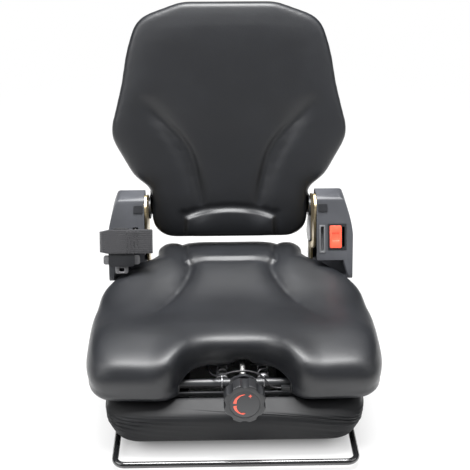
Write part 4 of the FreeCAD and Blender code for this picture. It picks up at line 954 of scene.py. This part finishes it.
class SEAT_OT_springs(bpy.types.Operator):
    """Hooks that stay on the scissor's front bar, and coils that run from them to the yoke"""

    bl_idname = "seat.springs"
    bl_label = "Springs"

    def execute(self, context):
        springs = copy_of("tension_springs", "spring_coils")
        in_edit_mode(springs, (bpy.ops.mesh.separate, {"type": "LOOSE"}))
        parts = list(context.selected_objects)
        hooks = [part for part in parts if min(v.co.y for v in part.data.vertices) < HOOK_END_Y]
        coils = joined("spring_coils", [part for part in parts if part not in hooks])
        hooks = joined("spring_hooks", hooks)
        for piece in (coils, hooks):
            wear(piece, FINISHES["spring"])
            shade(piece, 50)
        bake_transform(coils)
        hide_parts("tension_springs")
        settle(hooks, "outer_link")
        return {"FINISHED"}


# Knob marks

MARK_PROUD, MARK_SUNK, MARK_HALF = 0.00005, 0.0004, 0.00035
POST_PROUD = 0.00008
SIGN_LONG, SIGN_SHORT = 0.0028, 0.0006
PLUS_PLACE, MINUS_PLACE = (0.009, 0.0155), (-0.002, -0.0165)
CRESCENT_RADIUS, CRESCENT_TIP, CRESCENT_BUTT = 0.019, 0.0007, 0.0055
CRESCENT_STEPS = 24


def dial_mark(name, outline, proud=MARK_PROUD):
    """A flat mark on the knob's dial from an outline of (x, z)."""
    n = len(outline)
    back = [dial_to_world(x, proud - MARK_SUNK - MARK_HALF, z) for x, z in outline]
    front = [dial_to_world(x, proud - MARK_SUNK + MARK_HALF, z) for x, z in outline]
    faces = [tuple(range(n)), tuple(reversed(range(n, 2 * n)))]
    faces += [(k, n + k, n + (k + 1) % n, (k + 1) % n) for k in range(n)]
    piece = mesh_piece(name, back + front, faces)
    outward(piece)
    return piece


def crescent(start, end):
    """Outline of a mark that widens from its tip at the start angle."""
    outer, inner = [], []
    for k in range(CRESCENT_STEPS + 1):
        t = k / CRESCENT_STEPS
        angle = math.radians(start + (end - start) * t)
        depth = CRESCENT_RADIUS - (CRESCENT_TIP + (CRESCENT_BUTT - CRESCENT_TIP) * t)
        outer.append((CRESCENT_RADIUS * math.cos(angle), CRESCENT_RADIUS * math.sin(angle)))
        inner.append((depth * math.cos(angle), depth * math.sin(angle)))
    return outer + inner[::-1]


def stroke(place, half_wide, half_high):
    x, z = place
    return [(x - half_wide, z - half_high), (x + half_wide, z - half_high),
            (x + half_wide, z + half_high), (x - half_wide, z + half_high)]


class SEAT_OT_knob_marks(bpy.types.Operator):
    """Two crescents and the plus and minus signs on the weight knob's dial"""

    bl_idname = "seat.knob_marks"
    bl_label = "Knob Marks"

    def execute(self, context):
        marks = [
            dial_mark("mark_a", crescent(88, 172)),
            dial_mark("mark_b", crescent(268, 188)),
            dial_mark("bar", stroke(PLUS_PLACE, SIGN_LONG, SIGN_SHORT)),
            dial_mark("post", stroke(PLUS_PLACE, SIGN_SHORT, SIGN_LONG), POST_PROUD),
            dial_mark("bar", stroke(MINUS_PLACE, SIGN_LONG, SIGN_SHORT)),
        ]
        settle(joined("knob_marks", marks), "weight_knob", FINISHES["signal"])
        return {"FINISHED"}


# Lap belt

LOOP_NEAR, LOOP_FAR = 0.017, 0.029
LOOP_LEFT, LOOP_RIGHT = 0.158, 0.246
TAIL_X, TAIL_DEPTH, TAIL_BEND, END_GAP = 0.1855, 0.038, 0.004, 0.0025
BAND_LOW, BAND_HIGH, BAND_STEPS = 0.043, 0.089, 12
PINCH, PINCH_BEFORE, PINCH_AFTER = 0.13, 0.012, 0.006
HEM_EDGE, TURN_STEPS, BEND_STEPS = 0.0006, 14, 8
SEWING_X = (0.1795, 0.1865, 0.1935, 0.2005)
SEWING_STEPS, SEWING_HALF, SEWING_MARGIN, SEWING_PROUD = 22, 0.0020, 0.003, 0.0001


def belt_line():
    """The belt's run on the restraint's face as (x, proud), from its reel round the loop."""
    half = (LOOP_FAR - LOOP_NEAR) / 2
    middle = (LOOP_FAR + LOOP_NEAR) / 2
    run = [(TAIL_X, proud) for proud in np.linspace(-TAIL_DEPTH, LOOP_NEAR - TAIL_BEND, 12)]
    for k in range(1, BEND_STEPS):
        a = math.pi / 2 * k / BEND_STEPS
        along, out = TAIL_BEND * (1 - math.cos(a)), TAIL_BEND * math.sin(a)
        run.append((TAIL_X - along, LOOP_NEAR - TAIL_BEND + out))
    run += [(x, LOOP_NEAR) for x in np.linspace(TAIL_X - TAIL_BEND, LOOP_LEFT, 6)]
    turn = [math.pi * k / TURN_STEPS for k in range(1, TURN_STEPS)]
    run += [(LOOP_LEFT - half * math.sin(a), middle - half * math.cos(a)) for a in turn]
    run += [(x, LOOP_FAR) for x in np.linspace(LOOP_LEFT, LOOP_RIGHT, 20)]
    run += [(LOOP_RIGHT + half * math.sin(a), middle + half * math.cos(a)) for a in turn]
    run += [(x, LOOP_NEAR) for x in np.linspace(LOOP_RIGHT, TAIL_X + END_GAP, 14)]
    return run


class SEAT_OT_belt(bpy.types.Operator):
    """Lap belt webbing, folded round its tongue, with its zigzag sewing"""

    bl_idname = "seat.belt"
    bl_label = "Lap Belt"

    def execute(self, context):
        sizes = context.scene.seat_sizes
        run = belt_line()
        lengths = [0.0]
        for a, b in zip(run, run[1:]):
            lengths.append(lengths[-1] + math.dist(a, b))
        middle = (BAND_LOW + BAND_HIGH) / 2
        shares = [k / BAND_STEPS - 0.5 for k in range(BAND_STEPS + 1)]
        rows = []
        for x, proud in run:
            pinch = 1 - PINCH * soft_step(x, LOOP_RIGHT - PINCH_BEFORE, LOOP_RIGHT + PINCH_AFTER)
            heights = [middle + (BAND_HIGH - BAND_LOW) * share * pinch for share in shares]
            rows.append([face_to_world(-x, proud, h) for h in heights])
        belt = mesh_piece("belt_band", *wall_of(rows))
        uv = belt.data.uv_layers.new(name="strap")
        for loop in belt.data.loops:
            row, column = divmod(loop.vertex_index, BAND_STEPS + 1)
            uv.data[loop.index].uv = (column / BAND_STEPS * (BAND_HIGH - BAND_LOW), lengths[row])
        apply_modifier(belt, "SOLIDIFY", thickness=sizes.webbing, offset=0.0)
        apply_modifier(belt, "BEVEL", width=HEM_EDGE, segments=2, limit_method="ANGLE",
                       angle_limit=math.radians(50))
        shade(belt, 45)
        settle(belt, "seat_frame", FINISHES["webbing"], ["belt_webbing"])
        threads = [self.zigzag(x, sizes) for x in SEWING_X]
        sewing = settle(joined("belt_sewing", threads), "seat_frame", FINISHES["sewing"])
        return {"FINISHED"}

    def zigzag(self, x, sizes):
        """One row of zigzag stitches down the face of the loop."""
        proud = LOOP_FAR + sizes.webbing / 2 + SEWING_PROUD
        points = []
        for k in range(SEWING_STEPS + 1):
            h = BAND_LOW + SEWING_MARGIN
            h += (BAND_HIGH - BAND_LOW - 2 * SEWING_MARGIN) * k / SEWING_STEPS
            points.append(face_to_world(-(x + (SEWING_HALF if k % 2 else -SEWING_HALF)), proud, h))
        return tube("row", points, sizes.thread)


# Cable of the seat switch

CABLE_ROUTE = [
    (-52, -96, 109), (-52, -116, 109), (-49, -140, 110.5), (-44, -166, 114.5), (-37, -188, 120.5),
    (-23, -199, 129), (-4, -202, 138), (22, -202, 140), (43, -202, 132), (54, -203, 118),
    (64, -203.3, 104.5), (79, -203.3, 104.5),
]


class SEAT_OT_cable(bpy.types.Operator):
    """Thin cable from the seat switch to its connector"""

    bl_idname = "seat.cable"
    bl_label = "Switch Cable"

    def execute(self, context):
        diameter = context.scene.seat_sizes.cable
        route = [[c / 1000 for c in place] for place in CABLE_ROUTE]
        lead = round_curve("switch_lead", route, diameter / 2, 4, "NURBS")
        lead.data.resolution_u = 12
        lead.data.splines[0].order_u = 3
        lead.data.splines[0].use_endpoint_u = True
        lead.data.materials.append(FINISHES["cable"])
        settle(lead, "seat_frame", None, ["switch_cable"])
        return {"FINISHED"}


# Stage

# The floor is matt under the seat's foot, and glows a little less near it than far off
FLOOR_SIZE, FLOOR_DROP = 18, 0.0002
FOOT_RANGE, FOOT_MIDDLE_Y = (0.15, 0.24), -0.035
FAR_RANGE, NEAR_GLOW, MIRRORED_GLOW = (0.3, 4.0), 0.87, 0.3
ROOM_LIGHT = 0.05
WHITE = (1.0, 1.0, 1.0)
FLOOR_COLOUR = (0.88, 0.88, 0.88)

# Place, point that it shines at, width, watts
LAMPS = {
    "lamp_top": ((0.0, 0.10, 2.3), (0, 0.0, 0.2), 1.2, 165),
    "lamp_left": ((-1.7, -0.6, 1.75), (0, 0.0, 0.3), 1.7, 46),
    "lamp_right": ((1.7, -0.6, 1.75), (0, 0.0, 0.3), 1.7, 22),
    "lamp_front": ((0.2, -2.4, 2.0), (0, 0.0, 0.2), 1.2, 3),
}
CAMERA_PLACE = (-0.035, -1.6245, 1.0899)
CAMERA_PITCH, CAMERA_HEADING = 64, -1.41
CAMERA_LENS, CAMERA_SENSOR = 76.6, 36


class SEAT_OT_stage(bpy.types.Operator):
    """White floor, soft lamps and the camera"""

    bl_idname = "seat.stage"
    bl_label = "Stage"

    def execute(self, context):
        self.lay_floor()
        context.scene.world = self.air()
        for name, setting in LAMPS.items():
            self.lamp(name, *setting)
        data = bpy.data.cameras.new("photo_camera")
        data.sensor_width = CAMERA_SENSOR
        data.lens = CAMERA_LENS
        camera = bpy.data.objects.new("photo_camera", data)
        context.scene.collection.objects.link(camera)
        camera.location = CAMERA_PLACE
        camera.rotation_euler = (math.radians(CAMERA_PITCH), 0, math.radians(CAMERA_HEADING))
        context.scene.camera = camera
        context.scene.view_settings.view_transform = "Standard"
        return {"FINISHED"}

    def lay_floor(self):
        """A floor that the camera sees white, and matt under the seat, where its shadow falls."""
        bpy.ops.object.select_all(action="DESELECT")
        bpy.ops.mesh.primitive_plane_add(size=FLOOR_SIZE, location=(0, 0, -FLOOR_DROP))
        floor = bpy.context.object
        floor.name = "studio_floor"
        f = Finish("Studio floor")
        seen = f.node("ShaderNodeLightPath", output="Is Camera Ray")
        gloss = f.node("ShaderNodeLightPath", output="Is Glossy Ray")
        matt = f.node("ShaderNodeBsdfDiffuse", None, {"Color": FLOOR_COLOUR})
        glow = f.node("ShaderNodeEmission", None, {"Color": WHITE, "Strength": 1.0})
        x, y = f.part(f.place(), "X"), f.part(f.place(), "Y")
        across = x.maths("ABSOLUTE").span(*FOOT_RANGE)
        along = (y - FOOT_MIDDLE_Y).maths("ABSOLUTE").span(*FOOT_RANGE)
        clear = 1.0 - (1.0 - across) * (1.0 - along)
        far = (x * x + y * y).span(*FAR_RANGE)
        share = (seen + gloss * MIRRORED_GLOW) * clear * (NEAR_GLOW + far * (1 - NEAR_GLOW))
        both = f.node("ShaderNodeMixShader", None, {0: share, 1: matt, 2: glow})
        f.node("ShaderNodeOutputMaterial", None, {"Surface": both})
        floor.data.materials.append(f.material)

    def air(self):
        """A world that is white to the camera and dim to the seat."""
        air = Finish("Studio", "worlds")
        seen = air.node("ShaderNodeLightPath", output="Is Camera Ray")
        dim, white = (air.node("ShaderNodeBackground", None, {"Color": WHITE, "Strength": strength})
                      for strength in (ROOM_LIGHT, 1.0))
        both = air.node("ShaderNodeMixShader", None, {0: seen, 1: dim, 2: white})
        air.node("ShaderNodeOutputWorld", None, {"Surface": both})
        return air.material

    def lamp(self, name, place, target, width, watts):
        data = bpy.data.lights.new(name, "AREA")
        data.shape = "SQUARE"
        data.size = width
        data.energy = watts
        lamp = bpy.data.objects.new(name, data)
        bpy.context.scene.collection.objects.link(lamp)
        lamp.location = place
        lamp.rotation_mode = "QUATERNION"
        lamp.rotation_quaternion = (Vector(target) - Vector(place)).to_track_quat("-Z", "Y")


class SEAT_PT_panel(bpy.types.Panel):
    """The seat's operators and its sizes and colours"""

    bl_idname = "SEAT_PT_panel"
    bl_label = "Suspension Seat"
    bl_space_type = "VIEW_3D"
    bl_region_type = "UI"
    bl_category = "Seat"

    def draw(self, context):
        for operator in OPERATORS:
            self.layout.operator(operator.bl_idname)
        for group in (context.scene.seat_sizes, context.scene.seat_colours):
            box = self.layout.box()
            for name in type(group).__annotations__:
                box.prop(group, name)


OPERATORS = (
    SEAT_OT_stage, SEAT_OT_finishes, SEAT_OT_cable, SEAT_OT_seat_pad, SEAT_OT_back_pad, SEAT_OT_boot,
    SEAT_OT_mouldings, SEAT_OT_springs, SEAT_OT_knob_marks, SEAT_OT_belt,
)
GROUPS = (SeatSizes, SeatColours)


def register():
    for cls in GROUPS + OPERATORS + (SEAT_PT_panel,):
        bpy.utils.register_class(cls)
    bpy.types.Scene.seat_sizes = PointerProperty(type=SeatSizes)
    bpy.types.Scene.seat_colours = PointerProperty(type=SeatColours)


def unregister():
    del bpy.types.Scene.seat_colours
    del bpy.types.Scene.seat_sizes
    for cls in reversed(GROUPS + OPERATORS + (SEAT_PT_panel,)):
        bpy.utils.unregister_class(cls)


def main():
    register()
    bpy.ops.seat.stage()
    bpy.ops.seat.finishes()
    bpy.ops.seat.cable()
    bpy.ops.seat.seat_pad()
    bpy.ops.seat.back_pad()
    bpy.ops.seat.boot()
    bpy.ops.seat.mouldings()
    bpy.ops.seat.springs()
    bpy.ops.seat.knob_marks()
    bpy.ops.seat.belt()


if __name__ == "__main__":
    main()
